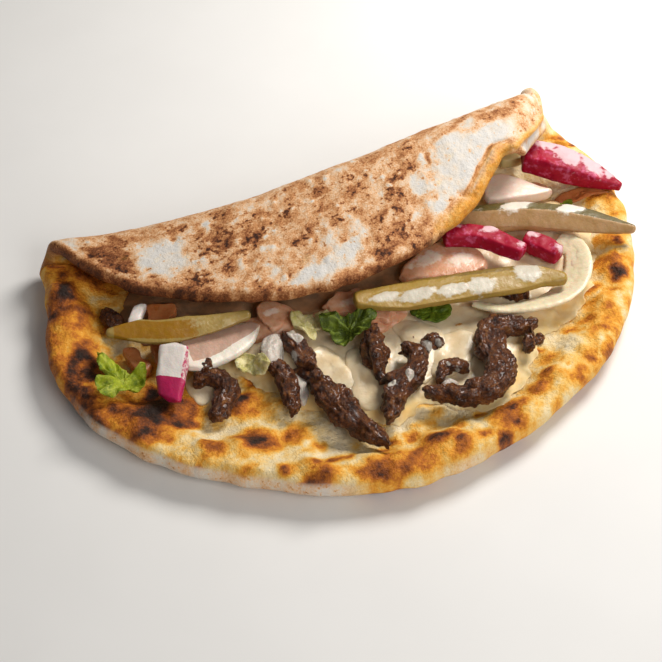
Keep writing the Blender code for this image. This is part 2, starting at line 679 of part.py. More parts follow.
def make_filling(pile):
    shares = (0.98, 0.92, 0.8, 0.62, 0.42, 0.2)
    body = draped(pile, CHEESE_EDGE, np.array([5.0, 10.0]), cheese_depth, shares, 64)
    pile.lay("cheese", body, "cheese", CHEESE, soft=9.0)
    for number, (route, widths, height) in enumerate(BEEF_STRIPS, 1):
        make_strip(pile, f"beef_{number}", route, widths, height, number)
    for number, (outline, thick) in enumerate(TOMATO_SLICES, 1):
        pile.settle(f"tomato_{number}", make_slice(outline, thick), "tomato", TOMATO)
    for number, leaf in enumerate(PALE_LEAVES, 1):
        make_leaf(pile, f"lettuce_pale_{number}", leaf, "pale leaf", PALE_LEAF, 10 + number)
    for number, leaf in enumerate(HERB_LEAVES, 1):
        make_leaf(pile, f"lettuce_dark_{number}", leaf, "dark leaf", HERB, 20 + number)
    for number, (outline, thick) in enumerate(ONION_SLICES, 1):
        pile.settle(f"onion_{number}", make_slice(outline, thick), "onion", ONION)
    pile.settle("onion_ring", make_band(*ONION_RING), "onion", ONION)
    for number, (route, widths, heights) in enumerate(TURNIP_STICKS, 1):
        pale = number <= 2
        body = make_bar(route, widths, heights, 0.45, 40 + number, count=8)
        pile.settle(f"turnip_{number}", body, "white turnip" if pale else "red turnip",
                    TURNIP_WHITE if pale else TURNIP)
    for number, (route, widths, heights) in enumerate(PICKLE_SPEARS, 1):
        body = make_bar(route, widths, heights, 0.7, 60 + number)
        pile.settle(f"pickle_{number}", body, "pickle", PICKLE)
    for number, leaf in enumerate(GREEN_LEAVES, 1):
        make_leaf(pile, f"lettuce_green_{number}", leaf, "green leaf", GREEN, 30 + number)


def main():
    for old in list(bpy.data.objects):
        bpy.data.objects.remove(old)
    whole = bpy.data.objects.new("shawarma flatbread", None)
    bpy.context.scene.collection.objects.link(whole)
    bread = make_flatbread(whole)
    make_filling(Pile(bread, whole))
    whole.location = (-MIDDLE_X * MM, -MIDDLE_Y * MM, 0)


main()
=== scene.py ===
# %% [markdown]
# # A shawarma flatbread, folded over and half open
#
# The object is one flatbread: a thin round baked against the wall of a hot oven, so that it blisters
# and chars on one side. It is folded once over its filling of cheese, beef, pickles and salad.
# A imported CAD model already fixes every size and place. We load it first and build the looks on it.
# Everything below works in millimetres and becomes metres only when a mesh is made.

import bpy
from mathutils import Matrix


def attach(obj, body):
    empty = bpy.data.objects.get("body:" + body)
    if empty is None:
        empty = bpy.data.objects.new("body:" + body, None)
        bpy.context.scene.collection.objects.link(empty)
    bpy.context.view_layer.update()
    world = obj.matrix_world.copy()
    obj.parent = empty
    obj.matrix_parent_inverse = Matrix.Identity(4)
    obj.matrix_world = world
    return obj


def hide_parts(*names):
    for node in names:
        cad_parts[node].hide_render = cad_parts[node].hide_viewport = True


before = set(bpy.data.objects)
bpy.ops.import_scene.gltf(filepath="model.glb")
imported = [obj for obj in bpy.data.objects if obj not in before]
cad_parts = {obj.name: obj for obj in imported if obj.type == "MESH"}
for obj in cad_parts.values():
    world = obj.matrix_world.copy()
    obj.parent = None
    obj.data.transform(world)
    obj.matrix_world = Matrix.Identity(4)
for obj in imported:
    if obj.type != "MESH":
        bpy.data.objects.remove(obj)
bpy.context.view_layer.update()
print("CAD nodes:", len(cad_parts))

# %% Tools and units
import math

import bpy
import numpy as np
from mathutils import Vector, noise
from mathutils.bvhtree import BVHTree

MM = 0.001
# The layout of the food was drawn round the round's own axis; this moves it to the frame's.
LAYOUT_TO_FRAME = np.array([1.4, 0.1, 0.0])
scene = bpy.context.scene

# %% [markdown]
# ## Reading and writing points
#
# Food is all small irregularities. Moving thousands of vertices one by one in Python is slow, so
# the points of a mesh are copied into a numpy array, changed there all at once and copied back.
# The same goes for painted fields: a number stored on each vertex, such as how toasted the bread
# is there, which the material reads later.

# %% Points, normals and painted fields
def points_of(made):
    flat = np.empty(len(made.data.vertices) * 3, np.float32)
    made.data.vertices.foreach_get("co", flat)
    return flat.reshape(-1, 3).astype(float) / MM - LAYOUT_TO_FRAME


def normals_of(made):
    flat = np.empty(len(made.data.vertices) * 3, np.float32)
    made.data.vertex_normals.foreach_get("vector", flat)
    return flat.reshape(-1, 3).astype(float)


def move_points(made, points):
    flat = ((points + LAYOUT_TO_FRAME) * MM).astype(np.float32).ravel()
    made.data.vertices.foreach_set("co", flat)
    made.data.update()


def paint(made, field, values):
    """Stores one number for each vertex under the name `field`."""
    layer = made.data.attributes.new(field, "FLOAT", "POINT")
    layer.data.foreach_set("value", np.asarray(values, np.float32).ravel())


def new_object(name, points, faces):
    mesh = bpy.data.meshes.new(name)
    mesh.from_pydata(((points + LAYOUT_TO_FRAME) * MM).tolist(), [], faces)
    made = bpy.data.objects.new(name, mesh)
    scene.collection.objects.link(made)
    mesh.shade_smooth()
    return made


def ring_faces(before, here, count):
    """Quads between two rings of `count` points, each given by the number of its first point."""
    after = (*range(1, count), 0)
    return [(before + k, before + after[k], here + after[k], here + k) for k in range(count)]


# %% [markdown]
# ## Noise and soft spots
#
# Nothing on a baked or cooked surface is even. Two tools give that: smooth noise in space, whose
# lumps have a size in millimetres, and soft round spots that are put exactly where the real bread
# has a blister or a scorch. Their edges are bent by noise so that no spot stays a circle.

# %% Noise, steps and spots
GRAIN_REACH = 1.6
# Every seed looks at the endless noise this far from the last one.
SEED_STEP = 17.31
SPOT_FALL = 1.2
CURVE_STEP = 0.05


def smooth_step(value):
    value = np.clip(value, 0.0, 1.0)
    return value * value * (3.0 - 2.0 * value)


def rising(value, start, width):
    """0 up to `start`, then smoothly up to 1 over `width`; a negative width looks the other way."""
    return smooth_step((value - start) / width)


def hump(value, middle, width):
    """1 at `middle`, falling to 0 within about twice the width on both sides."""
    return np.exp(-((value - middle) / width) ** 2)


def grain(points, size, seed):
    """Noise from about -1 to 1 in space, its lumps `size` millimetres apart."""
    spots = points / size + seed * SEED_STEP
    return GRAIN_REACH * np.array([noise.noise(Vector(spot)) for spot in spots.tolist()])


def grains(points, *layers):
    """Several grains added together, each given as its height, its size and its seed."""
    return sum(height * grain(points, size, seed) for height, size, seed in layers)


def strongest(x, y, places, shape):
    total = np.zeros_like(x)
    for centre_x, centre_y, radius_x, radius_y, level in places:
        away = ((x - centre_x) / radius_x) ** 2 + ((y - centre_y) / radius_y) ** 2
        total = np.maximum(total, level * shape(np.exp(-SPOT_FALL * away)))
    return total


def spots_at(x, y, places):
    """The strongest of some soft spots; a place is x, y, its two radii and its level."""
    return strongest(x, y, places, lambda near: near)


def patches_at(x, y, places):
    """The same, but level on top and with a short slope round it."""
    return strongest(x, y, places, lambda near: smooth_step(1.7 * near - 0.35))


# %% Curves and averages
def curve_through(points, count, closed=False):
    """`count` points evenly spread on a smooth curve (Catmull-Rom) through `points`."""
    points = np.array(points, float)
    if closed:
        padded = np.vstack([points[-1], points, points[0], points[1]])
    else:
        padded = np.vstack([2 * points[0] - points[1], points, 2 * points[-1] - points[-2]])
    dense = []
    for before, start, end, after in zip(padded, padded[1:], padded[2:], padded[3:]):
        for t in np.arange(0.0, 1.0, CURVE_STEP):
            dense.append(0.5 * (2 * start + (end - before) * t
                                + (2 * before - 5 * start + 4 * end - after) * t * t
                                + (3 * start - before - 3 * end + after) * t ** 3))
    dense.append(points[0] if closed else points[-1])
    dense = np.array(dense)
    along = distance_along(dense)
    wanted = np.linspace(0.0, along[-1], count, endpoint=not closed)
    return np.stack([np.interp(wanted, along, axis) for axis in dense.T], axis=1)


def distance_along(path):
    steps = np.linalg.norm(np.diff(path, axis=0), axis=1)
    return np.concatenate([[0.0], np.cumsum(steps)])


def unit(vectors):
    return vectors / np.linalg.norm(vectors, axis=1)[:, None]


def running_mean(values, reach):
    """Each value averaged with `reach` neighbours on both sides."""
    count = 2 * reach + 1
    return np.convolve(np.pad(values, reach, mode="edge"), np.ones(count) / count, mode="valid")


# %% [markdown]
# ## Building materials from parts
#
# Materials are node trees. Three effects return in nearly every one of them, so each is a node
# group that is built once: `lumps`, noise whose size is in millimetres; `ragged edge`, which turns
# a painted field into a mask with an uneven border; and `pores`, heights for the Bump node.
# The Principled shader itself stays in the material.

# %% Node helpers
def add_node(tree, kind, inputs=None, **settings):
    """Adds a node; each of its inputs gets a socket to link from, or a plain value."""
    made = tree.nodes.new(kind)
    for setting, value in settings.items():
        setattr(made, setting, value)
    for socket, value in (inputs or {}).items():
        if isinstance(value, bpy.types.NodeSocket):
            tree.links.new(value, made.inputs[socket])
        else:
            made.inputs[socket].default_value = value
    return made


def add_group(tree, group, inputs):
    return add_node(tree, "ShaderNodeGroup", inputs, node_tree=group).outputs[0]


def maths(tree, operation, first, second):
    return add_node(tree, "ShaderNodeMath", {0: first, 1: second}, operation=operation).outputs[0]


def blend(tree, share, first, second):
    """One colour passing into another; the colours are sockets or (R, G, B)."""
    first, second = [(*colour, 1.0) if isinstance(colour, tuple) else colour
                     for colour in (first, second)]
    # A Mix node keeps its two colours in its inputs 6 and 7, and puts out the third output.
    inputs = {0: share, 6: first, 7: second}
    return add_node(tree, "ShaderNodeMix", inputs, data_type="RGBA").outputs[2]


def ramp(tree, level, stops):
    """Colours along a level; a stop is its position and an (R, G, B)."""
    made = add_node(tree, "ShaderNodeValToRGB", {0: level})
    elements = made.color_ramp.elements
    while len(elements) < len(stops):
        elements.new(0.5)
    for element, (position, colour) in zip(elements, stops):
        element.position = position
        element.color = (*colour, 1.0)
    return made.outputs[0]


def span(tree, value, low, high, new_low, new_high, way="SMOOTHSTEP"):
    """Maps low..high onto new_low..new_high, and holds at both ends."""
    inputs = {0: value, 1: low, 2: high, 3: new_low, 4: new_high}
    return add_node(tree, "ShaderNodeMapRange", inputs, interpolation_type=way).outputs[0]


# %% The shared groups
def new_group(name, inputs, output):
    """An empty node group with named inputs (name: default) and one output."""
    tree = bpy.data.node_groups.new(name, "ShaderNodeTree")
    for label, default in inputs.items():
        kind = "NodeSocketVector" if default is None else "NodeSocketFloat"
        socket = tree.interface.new_socket(label, in_out="INPUT", socket_type=kind)
        if default is not None:
            socket.default_value = default
    tree.interface.new_socket(output, in_out="OUTPUT", socket_type="NodeSocketFloat")
    given = tree.nodes.new("NodeGroupInput").outputs
    return tree, given, tree.nodes.new("NodeGroupOutput").inputs[0]


def make_lumps():
    tree, given, out = new_group("lumps", {"Place": None, "Size": 5.0, "Amount": 1.0}, "Level")
    scale = maths(tree, "DIVIDE", 1.0, given["Size"])
    cloud = add_node(tree, "ShaderNodeTexNoise",
                     {"Vector": given["Place"], "Scale": scale, "Detail": 3.0, "Roughness": 0.55})
    level = maths(tree, "SUBTRACT", cloud.outputs[0], 0.5)
    level = maths(tree, "MULTIPLY", level, 3.0)
    tree.links.new(maths(tree, "MULTIPLY", level, given["Amount"]), out)
    return tree


def make_ragged_edge(lumps):
    inputs = {"Field": 0.0, "Place": None, "Size": 3.0, "Raggedness": 0.3, "Softness": 0.1}
    tree, given, out = new_group("ragged edge", inputs, "Mask")
    rough = add_group(tree, lumps, {"Place": given["Place"], "Size": given["Size"],
                                    "Amount": given["Raggedness"]})
    level = maths(tree, "ADD", given["Field"], rough)
    low = maths(tree, "SUBTRACT", 0.5, given["Softness"])
    high = maths(tree, "ADD", 0.5, given["Softness"])
    tree.links.new(span(tree, level, low, high, 0.0, 1.0), out)
    return tree


def make_pores(lumps):
    inputs = {"Place": None, "Coarse": 3.0, "Fine": 0.8, "Share of fine": 0.4}
    tree, given, out = new_group("pores", inputs, "Height")
    coarse = add_group(tree, lumps, {"Place": given["Place"], "Size": given["Coarse"]})
    fine = add_group(tree, lumps, {"Place": given["Place"], "Size": given["Fine"],
                                   "Amount": given["Share of fine"]})
    tree.links.new(maths(tree, "ADD", coarse, fine), out)
    return tree


LUMPS = make_lumps()
RAGGED_EDGE = make_ragged_edge(LUMPS)
PORES = make_pores(LUMPS)
print("groups:", LUMPS.name, RAGGED_EDGE.name, PORES.name)


# %% A material ready to be filled in
HERB_FLECK = (0.10, 0.09, 0.03)
METRES_TO_MM = (1000.0, 1000.0, 1000.0)


class Finish:
    """A new material with its place in millimetres and shortcuts to the shared groups."""

    def __init__(self, name, **sockets):
        self.made = bpy.data.materials.new(name)
        self.made.use_nodes = True
        self.tree = self.made.node_tree
        self.shader = self.tree.nodes["Principled BSDF"]
        for label, value in sockets.items():
            self.shader.inputs[label.replace("_", " ")].default_value = value
        where = add_node(self.tree, "ShaderNodeTexCoord").outputs["Object"]
        scaled = add_node(self.tree, "ShaderNodeVectorMath", {0: where, 1: METRES_TO_MM},
                          operation="MULTIPLY")
        self.place = scaled.outputs[0]

    def field(self, name):
        """The number that is painted on the mesh under this name."""
        return add_node(self.tree, "ShaderNodeAttribute", attribute_name=name).outputs["Fac"]

    def noise(self, size, amount=1.0):
        return add_group(self.tree, LUMPS, {"Place": self.place, "Size": size, "Amount": amount})

    def tone(self, coarse, fine, reach=1.0):
        """0 to 1, from two noises that are each given as size and amount."""
        both = maths(self.tree, "ADD", self.noise(*coarse), self.noise(*fine))
        return span(self.tree, both, -reach, reach, 0.0, 1.0)

    def mask(self, field, size, raggedness, softness):
        """A painted field as a mask with an uneven border."""
        inputs = {"Field": self.field(field), "Place": self.place, "Size": size,
                  "Raggedness": raggedness, "Softness": softness}
        return add_group(self.tree, RAGGED_EDGE, inputs)

    def flecked(self, colour):
        """A colour with a few dark flecks of herb and pepper."""
        flecks = span(self.tree, self.noise(1.9), 0.88, 1.0, 0.0, 0.8)
        return blend(self.tree, flecks, colour, HERB_FLECK)

    def colour(self, socket):
        self.tree.links.new(socket, self.shader.inputs["Base Color"])

    def roughness(self, socket):
        self.tree.links.new(socket, self.shader.inputs["Roughness"])

    def uneven_gloss(self, size, low, high):
        """A roughness that wanders from low to high and back."""
        self.roughness(span(self.tree, self.noise(size), -1.0, 1.0, low, high))

    def bump(self, coarse, fine, share_of_fine, depth, weight=None):
        """Relief `depth` millimetres deep, less where `weight` is below 1."""
        height = add_group(self.tree, PORES, {"Place": self.place, "Coarse": coarse, "Fine": fine,
                                              "Share of fine": share_of_fine})
        if weight is not None:
            height = maths(self.tree, "MULTIPLY", height, weight)
        bump = add_node(self.tree, "ShaderNodeBump", {"Height": height, "Distance": depth * MM})
        self.tree.links.new(bump.outputs[0], self.shader.inputs["Normal"])


# %% [markdown]
# ## The camera, the light and the table
#
# The food was photographed from the front left, looking down at 46 degrees, with a long lens. The
# light comes from the right and a little behind, so that the flap throws its shadow on the left
# half of the filling. A large soft panel does that; a weaker one opens up the shadows.

# %% Camera
VIEW_TARGET = Vector((-8.6, 17.1, 15.0)) * MM
VIEW_AZIMUTH = math.radians(-20.0)
VIEW_ELEVATION = math.radians(46.0)
VIEW_DISTANCE = 0.75
LENS_LENGTH = 97.0
SENSOR_WIDTH = 36.0
NEAREST_SEEN = 0.01
# The photograph's middle lies a few pixels beside the middle of the food.
PHOTO_SIZE = 662
PIXELS_ASIDE = -6
PIXELS_DOWN = -43

lens = bpy.data.cameras.new("camera")
lens.lens = LENS_LENGTH
lens.sensor_width = SENSOR_WIDTH
lens.clip_start = NEAREST_SEEN
lens.shift_x = PIXELS_ASIDE / PHOTO_SIZE
lens.shift_y = PIXELS_DOWN / PHOTO_SIZE
camera = bpy.data.objects.new("camera", lens)
towards_camera = Vector((math.sin(VIEW_AZIMUTH) * math.cos(VIEW_ELEVATION),
                         -math.cos(VIEW_AZIMUTH) * math.cos(VIEW_ELEVATION),
                         math.sin(VIEW_ELEVATION)))
camera.location = VIEW_TARGET + towards_camera * VIEW_DISTANCE
camera.rotation_euler = (-towards_camera).to_track_quat("-Z", "Y").to_euler()
scene.collection.objects.link(camera)
scene.camera = camera
scene.view_settings.view_transform = "Standard"
print("camera at", [round(value, 3) for value in camera.location])


# %% Lights
SOFT_WHITE = (1.0, 0.98, 0.96)
STUDIO_GLOW = 0.16


def soft_panel(name, place, size, power, colour):
    lamp = bpy.data.lights.new(name, "AREA")
    lamp.shape = "DISK"
    lamp.size = size
    lamp.energy = power
    lamp.color = colour
    made = bpy.data.objects.new(name, lamp)
    made.location = place
    made.rotation_euler = (VIEW_TARGET - Vector(place)).to_track_quat("-Z", "Y").to_euler()
    scene.collection.objects.link(made)


soft_panel("key light", place=(0.36, 0.20, 0.44), size=0.26, power=3.7, colour=(1.0, 0.97, 0.93))
soft_panel("fill light", place=(0.22, -0.72, 0.55), size=0.60, power=4.2, colour=SOFT_WHITE)
world = bpy.data.worlds.new("studio")
world.use_nodes = True
glow = world.node_tree.nodes["Background"]
glow.inputs["Color"].default_value = (*SOFT_WHITE, 1.0)
glow.inputs["Strength"].default_value = STUDIO_GLOW
scene.world = world

# %% Table
TABLE_HALF = 1500.0
TABLE_TOP = -0.2


def make_table():
    signs = ((-1, -1), (1, -1), (1, 1), (-1, 1))
    corners = np.array([(x * TABLE_HALF, y * TABLE_HALF, TABLE_TOP) for x, y in signs])
    table = new_object("table", corners, [(0, 1, 2, 3)])
    finish = Finish("pale table", Roughness=0.7)
    tone = span(finish.tree, finish.noise(60.0), -1.0, 1.0, 0.0, 1.0)
    finish.colour(blend(finish.tree, tone, (0.80, 0.79, 0.77), (0.83, 0.82, 0.80)))
    table.data.materials.append(finish.made)


make_table()

# %% [markdown]
# ## The shape of the bread
#
# The bread is drawn as it is made: a flat round with a slightly uneven outline, folded over a
# line. A spot is given by its bearing from the middle and its inset from the edge, and these
# functions say where it lies once folded. The solid in the CAD model uses the same ones, so this
# finer skin lies exactly on it and everything that rests on the bread still does.

# %% Measures of the round and the fold
# The round: its middle, and its radius at some bearings in degrees.
ROUND_Y = 47.0
ROUND_RADII = {
    8: 129, 15: 127, 22: 121, 31: 124, 40: 120, 52: 124, 62: 123, 77: 116, 90: 111, 106: 108,
    118: 108, 128: 112, 138: 120, 150: 127, 160: 129, 168: 127, 176: 126, 187: 134, 200: 140,
    212: 140, 225: 137, 238: 134, 250: 136, 263: 134, 280: 131, 295: 128, 310: 130, 330: 130,
    345: 130, 357: 131,
}
ROUND_BLEND_DEG = 6.0
RIM_UNEVEN = 0.9
RIM_SETBACK = 0.3
# The fold: a bowed line, higher towards the right, and a flap that curls down past it.
FOLD_Y = 57.5
FOLD_BOW_LEFT = 0.00106
FOLD_BOW_RIGHT = 0.0004
FOLD_HEIGHT = 36.5
FOLD_RISE = 12.5
FOLD_HALF_WIDTH = 125.0
FLAP_CURL = 0.004
FLAP_CURL_GROWTH = 36.0
FLAP_CURL_MOST = 0.06
FLAP_TURN_MOST = 1.35
# The tuck: the flap's right corner, turned down.
TUCK_BEARING = 38.0
TUCK_SPREAD = 14.0
TUCK_START = 5.0
TUCK_LENGTH = 19.0
TUCK_RADIUS = 9.0
TUCK_TURN = 1.35
# The thickness, and how the rim swells and is rounded.
BREAD_THICK = 5.5
RIM_EXTRA = 7.0
RIM_PEAK = 10.0
RIM_WIDTH = 8.5
RIM_ROUND = 7.0
RIM_LIFT = 2.0
RIM_LIFT_WIDTH = 6.0
FLAP_RIM_EXTRA = 1.0
FLAP_ROUND = 3.2
# The corner beside the tuck stands up in a point, and the edge next to it is pinched in.
CORNER_BEARING = 27.0
CORNER_SPREAD = 2.5
CORNER_INSET = 4.0
CORNER_REACH = 7.0
CORNER_RISE = 4.2
PINCH_BEARING = 29.5
PINCH_SPREAD = 2.8
PINCH_INSET = 3.0
PINCH_REACH = 8.0
PINCH_MOVE = np.array([-5.0, 1.8, 0.0])
# A crest runs down from the point, and a short crack runs in from the rolled edge's lower end.
CREST_LINE = ((74, 148), (82, 141), (91, 136), (100, 132), (109, 124))
FLAP_CRACK = ((61, 155), (56, 151), (51, 147))
# Big blisters on the open half: (x, y, radius, height).
BLISTERS = (
    (-66, -44, 12, 3.2), (-50, -50, 9, 2.2), (-98, -20, 13, 3.0), (-112, 0, 10, 2.4),
    (-118, 36, 9, 1.8), (-50, -73, 8, 2.0), (-30, -72, 9, 2.4), (0, -68, 13, 3.0),
    (-15, -80, 8, 2.0), (24, -80, 8, 2.0), (40, -72, 9, 2.0), (108, -10, 7, 2.6),
    (96, -27, 8, 1.8), (76, -40, 10, 2.2), (62, -58, 9, 1.8), (-84, -44, 9, 2.4),
    (-36, -62, 8, 1.6), (-90, 10, 9, 2.2),
)


# %% From the flat round to the folded bread
FLAT_SEED_STEP = 7.31


def flat_lumps(x, y, size, seed):
    flat = zip(np.ravel(x), np.ravel(y))
    made = [noise.noise(Vector((a / size, b / size, seed * FLAT_SEED_STEP))) for a, b in flat]
    return np.array(made).reshape(np.shape(x))


def round_radius(bearing):
    """The radius at any bearing: the named ones joined, then averaged over a few degrees."""
    degrees = np.arange(360)
    named = sorted(ROUND_RADII.items())
    radii = np.interp(degrees, [k for k, _ in named], [v for _, v in named], period=360)
    near = hump(np.minimum(degrees, 360 - degrees), 0, ROUND_BLEND_DEG)
    smoothed = np.real(np.fft.ifft(np.fft.fft(radii) * np.fft.fft(near / near.sum())))
    return np.interp(np.degrees(bearing) % 360, degrees, smoothed, period=360)


def tuck_share(bearing):
    away = (np.degrees(bearing) % 360 - TUCK_BEARING) / TUCK_SPREAD
    return smooth_step(1.6 - 1.6 * np.abs(away))


def bread_spot(bearing, reach):
    """The outer skin, the way through the bread, the way outwards, and how far onto the flap."""
    x = reach * np.cos(bearing)
    t = ROUND_Y + reach * np.sin(bearing)
    line = FOLD_Y + np.where(x < 0, FOLD_BOW_LEFT, FOLD_BOW_RIGHT) * x * x
    share = np.clip(x / FOLD_HALF_WIDTH, -1.0, 1.0)
    outer = (FOLD_HEIGHT + FOLD_RISE * np.sin(share * math.pi / 2)) / 2
    middle = outer - BREAD_THICK / 2
    past = t - line
    turn = np.clip(past / middle, 0.0, math.pi)
    run = np.maximum(past - math.pi * middle, 0.0)
    curl = np.minimum(FLAP_CURL * np.exp(x / FLAP_CURL_GROWTH), FLAP_CURL_MOST)
    tip = np.minimum(curl * run, FLAP_TURN_MOST)
    y = np.where(past < 0, t, line + outer * np.sin(turn) - np.sin(tip) / curl)
    z = outer * (1 - np.cos(turn)) - (1 - np.cos(tip)) / curl
    lean = turn + tip
    skin = np.stack([x, y, z], axis=-1)
    inwards = np.stack([np.zeros_like(x), -np.sin(lean), np.cos(lean)], axis=-1)
    outwards = np.stack([np.cos(bearing), np.sin(bearing) * np.cos(lean),
                         np.sin(bearing) * np.sin(lean)], axis=-1)
    return skin, inwards, outwards, smooth_step(turn / math.pi)


# %% [markdown]
# ## What the oven did to the surface
#
# The open half shows the side that faced the heat: it is bubbly, and every bubble that stood
# proud was toasted first. So one set of seeded bubbles gives both the relief and part of the
# colour. The flap shows the side that lay on the oven wall: flat and floury, with small dents,
# pits and short cracks where flour patches broke.

# %% Bubbles, dents and pits
OPEN_REACH = 138
BUBBLE_RISE = 0.30
DOT_COUNT = 150
rng = np.random.default_rng(7)


def scattered_bubbles(count, smallest, largest):
    """x, y, radius of bubbles all over the open half, small ones far more often."""
    angle = rng.uniform(0, math.tau, count)
    reach = OPEN_REACH * np.sqrt(rng.uniform(0, 1, count))
    size = smallest * (largest / smallest) ** (rng.uniform(0, 1, count) ** 2.2)
    return np.column_stack([reach * np.cos(angle), ROUND_Y + reach * np.sin(angle), size])


BUBBLES = scattered_bubbles(560, 1.8, 8.5)
# Pits in the flap: (x, t, radius, depth).
FLAP_PITS = (
    (-37, 146, 1.0, 1.3), (-31, 142, 0.9, 0.8), (-44, 138, 0.9, 0.8), (62, 133, 0.8, 0.5),
    (67, 133, 0.8, 0.5), (67, 142, 0.8, 0.5), (-104, 106, 1.6, 0.7), (-83, 121, 1.8, 1.0),
    (-84, 117, 1.4, 0.8), (-69, 102, 1.6, 0.7), (-52, 100, 1.2, 0.5), (30, 126, 1.0, 0.6),
)
# Small raised dots of flour on the flap: x, t and radius.
PALE_DOTS = np.column_stack([rng.uniform(-110, 115, DOT_COUNT), rng.uniform(92, 158, DOT_COUNT),
                             rng.uniform(0.8, 1.5, DOT_COUNT)])
print("seeded:", len(BUBBLES), "bubbles and", len(PALE_DOTS), "dots")


def highest_dome(x, y, domes):
    """The highest of some low domes, each given as x, y, radius and height."""
    total = np.zeros_like(x)
    for centre_x, centre_y, radius, height in domes:
        near = (np.abs(x - centre_x) < 2.2 * radius) & (np.abs(y - centre_y) < 2.2 * radius)
        away = ((x[near] - centre_x) ** 2 + (y[near] - centre_y) ** 2) / radius ** 2
        total[near] = np.maximum(total[near], height * np.exp(-1.6 * away))
    return total


def small_bubbles(x, y):
    return highest_dome(x, y, [(a, b, size, BUBBLE_RISE * size) for a, b, size in BUBBLES])


def near_line(x, y, line, width):
    """1 on a line through the points, falling to 0 within about twice the width."""
    away = np.full(x.shape, np.inf)
    for spot_x, spot_y in curve_through(line, 60):
        away = np.minimum(away, (x - spot_x) ** 2 + (y - spot_y) ** 2)
    return np.exp(-away / width ** 2)


def rolled_share(x):
    """The stretch of the flap's free edge that is rolled up, towards the right."""
    return rising(x, 34, 14) * rising(x, 84, -8)


# %% Relief of the two sides
FINE_START = 4.0


def filled_relief(skin, x, t, flap, inset):
    """How far the filled side stands up: blisters, broad swellings and small bubbles."""
    level = np.stack([x, t, np.zeros_like(x)], axis=-1).reshape(-1, 3)
    swell = highest_dome(skin[..., 0], skin[..., 1], BLISTERS) + 0.7 * flat_lumps(x, t, 17.0, 1)
    fine = grains(level, (0.9, 12.0, 9), (0.55, 6.0, 3), (0.27, 2.6, 4)).reshape(x.shape)
    fine = (fine + small_bubbles(x, t)) * (1 - 0.6 * flap)
    return swell * (1 - flap) * rising(inset, 0, 8.0) + fine * rising(inset, 0, FINE_START)


def outer_relief(x, t, flap, inset):
    """How far the outer side stands out: waves, grain, pits, dots, the crest and the roll."""
    level = np.stack([x, t, np.zeros_like(x)], axis=-1).reshape(-1, 3)
    waves = 0.8 * flat_lumps(x, t, 40.0, 2) * rising(inset, 0, 12.0)
    fine = grains(level, (0.30, 11.0, 5), (0.16, 4.0, 6), (0.08, 2.4, 7)).reshape(x.shape)
    fine = fine - highest_dome(x, t, FLAP_PITS)
    fine = fine + highest_dome(x, t, [(a, b, 1.2 * size, 0.45 * size) for a, b, size in PALE_DOTS])
    fine = fine + 2.2 * near_line(x, t, CREST_LINE, 2.0) - 1.2 * near_line(x, t, FLAP_CRACK, 1.3)
    roll = 1.1 * hump(inset, 4.5, 2.2) - 1.4 * hump(inset, 8.6, 1.3)
    fine = fine + roll * rolled_share(x)
    return (waves + fine * rising(inset, 0, FINE_START)) * flap


# %% The skin of the bread
def tucked_skin(bearing, inset):
    """The outer skin, the way through the bread, the shares of flap and tuck, and the reach."""
    tuck = tuck_share(bearing)
    rim_place = np.stack([np.cos(bearing), np.sin(bearing), np.zeros_like(bearing)], axis=-1)
    uneven = RIM_UNEVEN * grain(rim_place.reshape(-1, 3) * 130.0, 9.0, 8).reshape(bearing.shape)
    plain = round_radius(bearing) - TUCK_START * tuck + uneven * (1 - tuck) - RIM_SETBACK
    reach = plain + (TUCK_START + TUCK_LENGTH) * tuck - inset
    beyond = np.maximum(reach - plain, 0.0)
    skin, inwards, outwards, flap = bread_spot(bearing, np.minimum(reach, plain))
    bend = np.minimum(beyond / TUCK_RADIUS, TUCK_TURN * tuck)
    straight = beyond - bend * TUCK_RADIUS
    ahead = TUCK_RADIUS * np.sin(bend) + straight * np.cos(bend)
    down = TUCK_RADIUS * (1 - np.cos(bend)) + straight * np.sin(bend)
    skin = skin + outwards * ahead[..., None] + inwards * down[..., None]
    inwards = inwards * np.cos(bend)[..., None] - outwards * np.sin(bend)[..., None]
    return skin, inwards, flap, tuck, reach


def bread_surface(bearing, inset, side):
    """Points of the filled side (1) or outer side (-1), with the unfolded x, t and the flap share."""
    skin, inwards, flap, tuck, reach = tucked_skin(bearing, inset)
    degrees = np.degrees(bearing)
    point = hump(degrees, CORNER_BEARING, CORNER_SPREAD) * hump(inset, CORNER_INSET, CORNER_REACH)
    pinch = hump(degrees, PINCH_BEARING, PINCH_SPREAD) * hump(inset, PINCH_INSET, PINCH_REACH)
    skin = skin - inwards * (CORNER_RISE * point)[..., None] + pinch[..., None] * PINCH_MOVE
    rim = np.where(inset < RIM_PEAK, 1.0, hump(inset, RIM_PEAK, RIM_WIDTH))
    extra = RIM_EXTRA + (FLAP_RIM_EXTRA - RIM_EXTRA) * flap
    thick = BREAD_THICK + rim * extra * (1 - tuck)
    rounding = RIM_ROUND + (FLAP_ROUND - RIM_ROUND) * np.maximum(flap, tuck)
    fullness = np.sqrt(1 - np.clip(1 - inset / rounding, 0.0, 1.0) ** 2)
    lift = RIM_LIFT * (1 - flap) * hump(inset, 0, RIM_LIFT_WIDTH)
    depth = lift + thick / 2 * (1 + side * fullness)
    x = reach * np.cos(bearing)
    t = ROUND_Y + reach * np.sin(bearing)
    if side > 0:
        depth = depth + filled_relief(skin, x, t, flap, inset)
    else:
        depth = depth - outer_relief(x, t, flap, inset)
    return skin + inwards * depth[..., None], x, t, flap


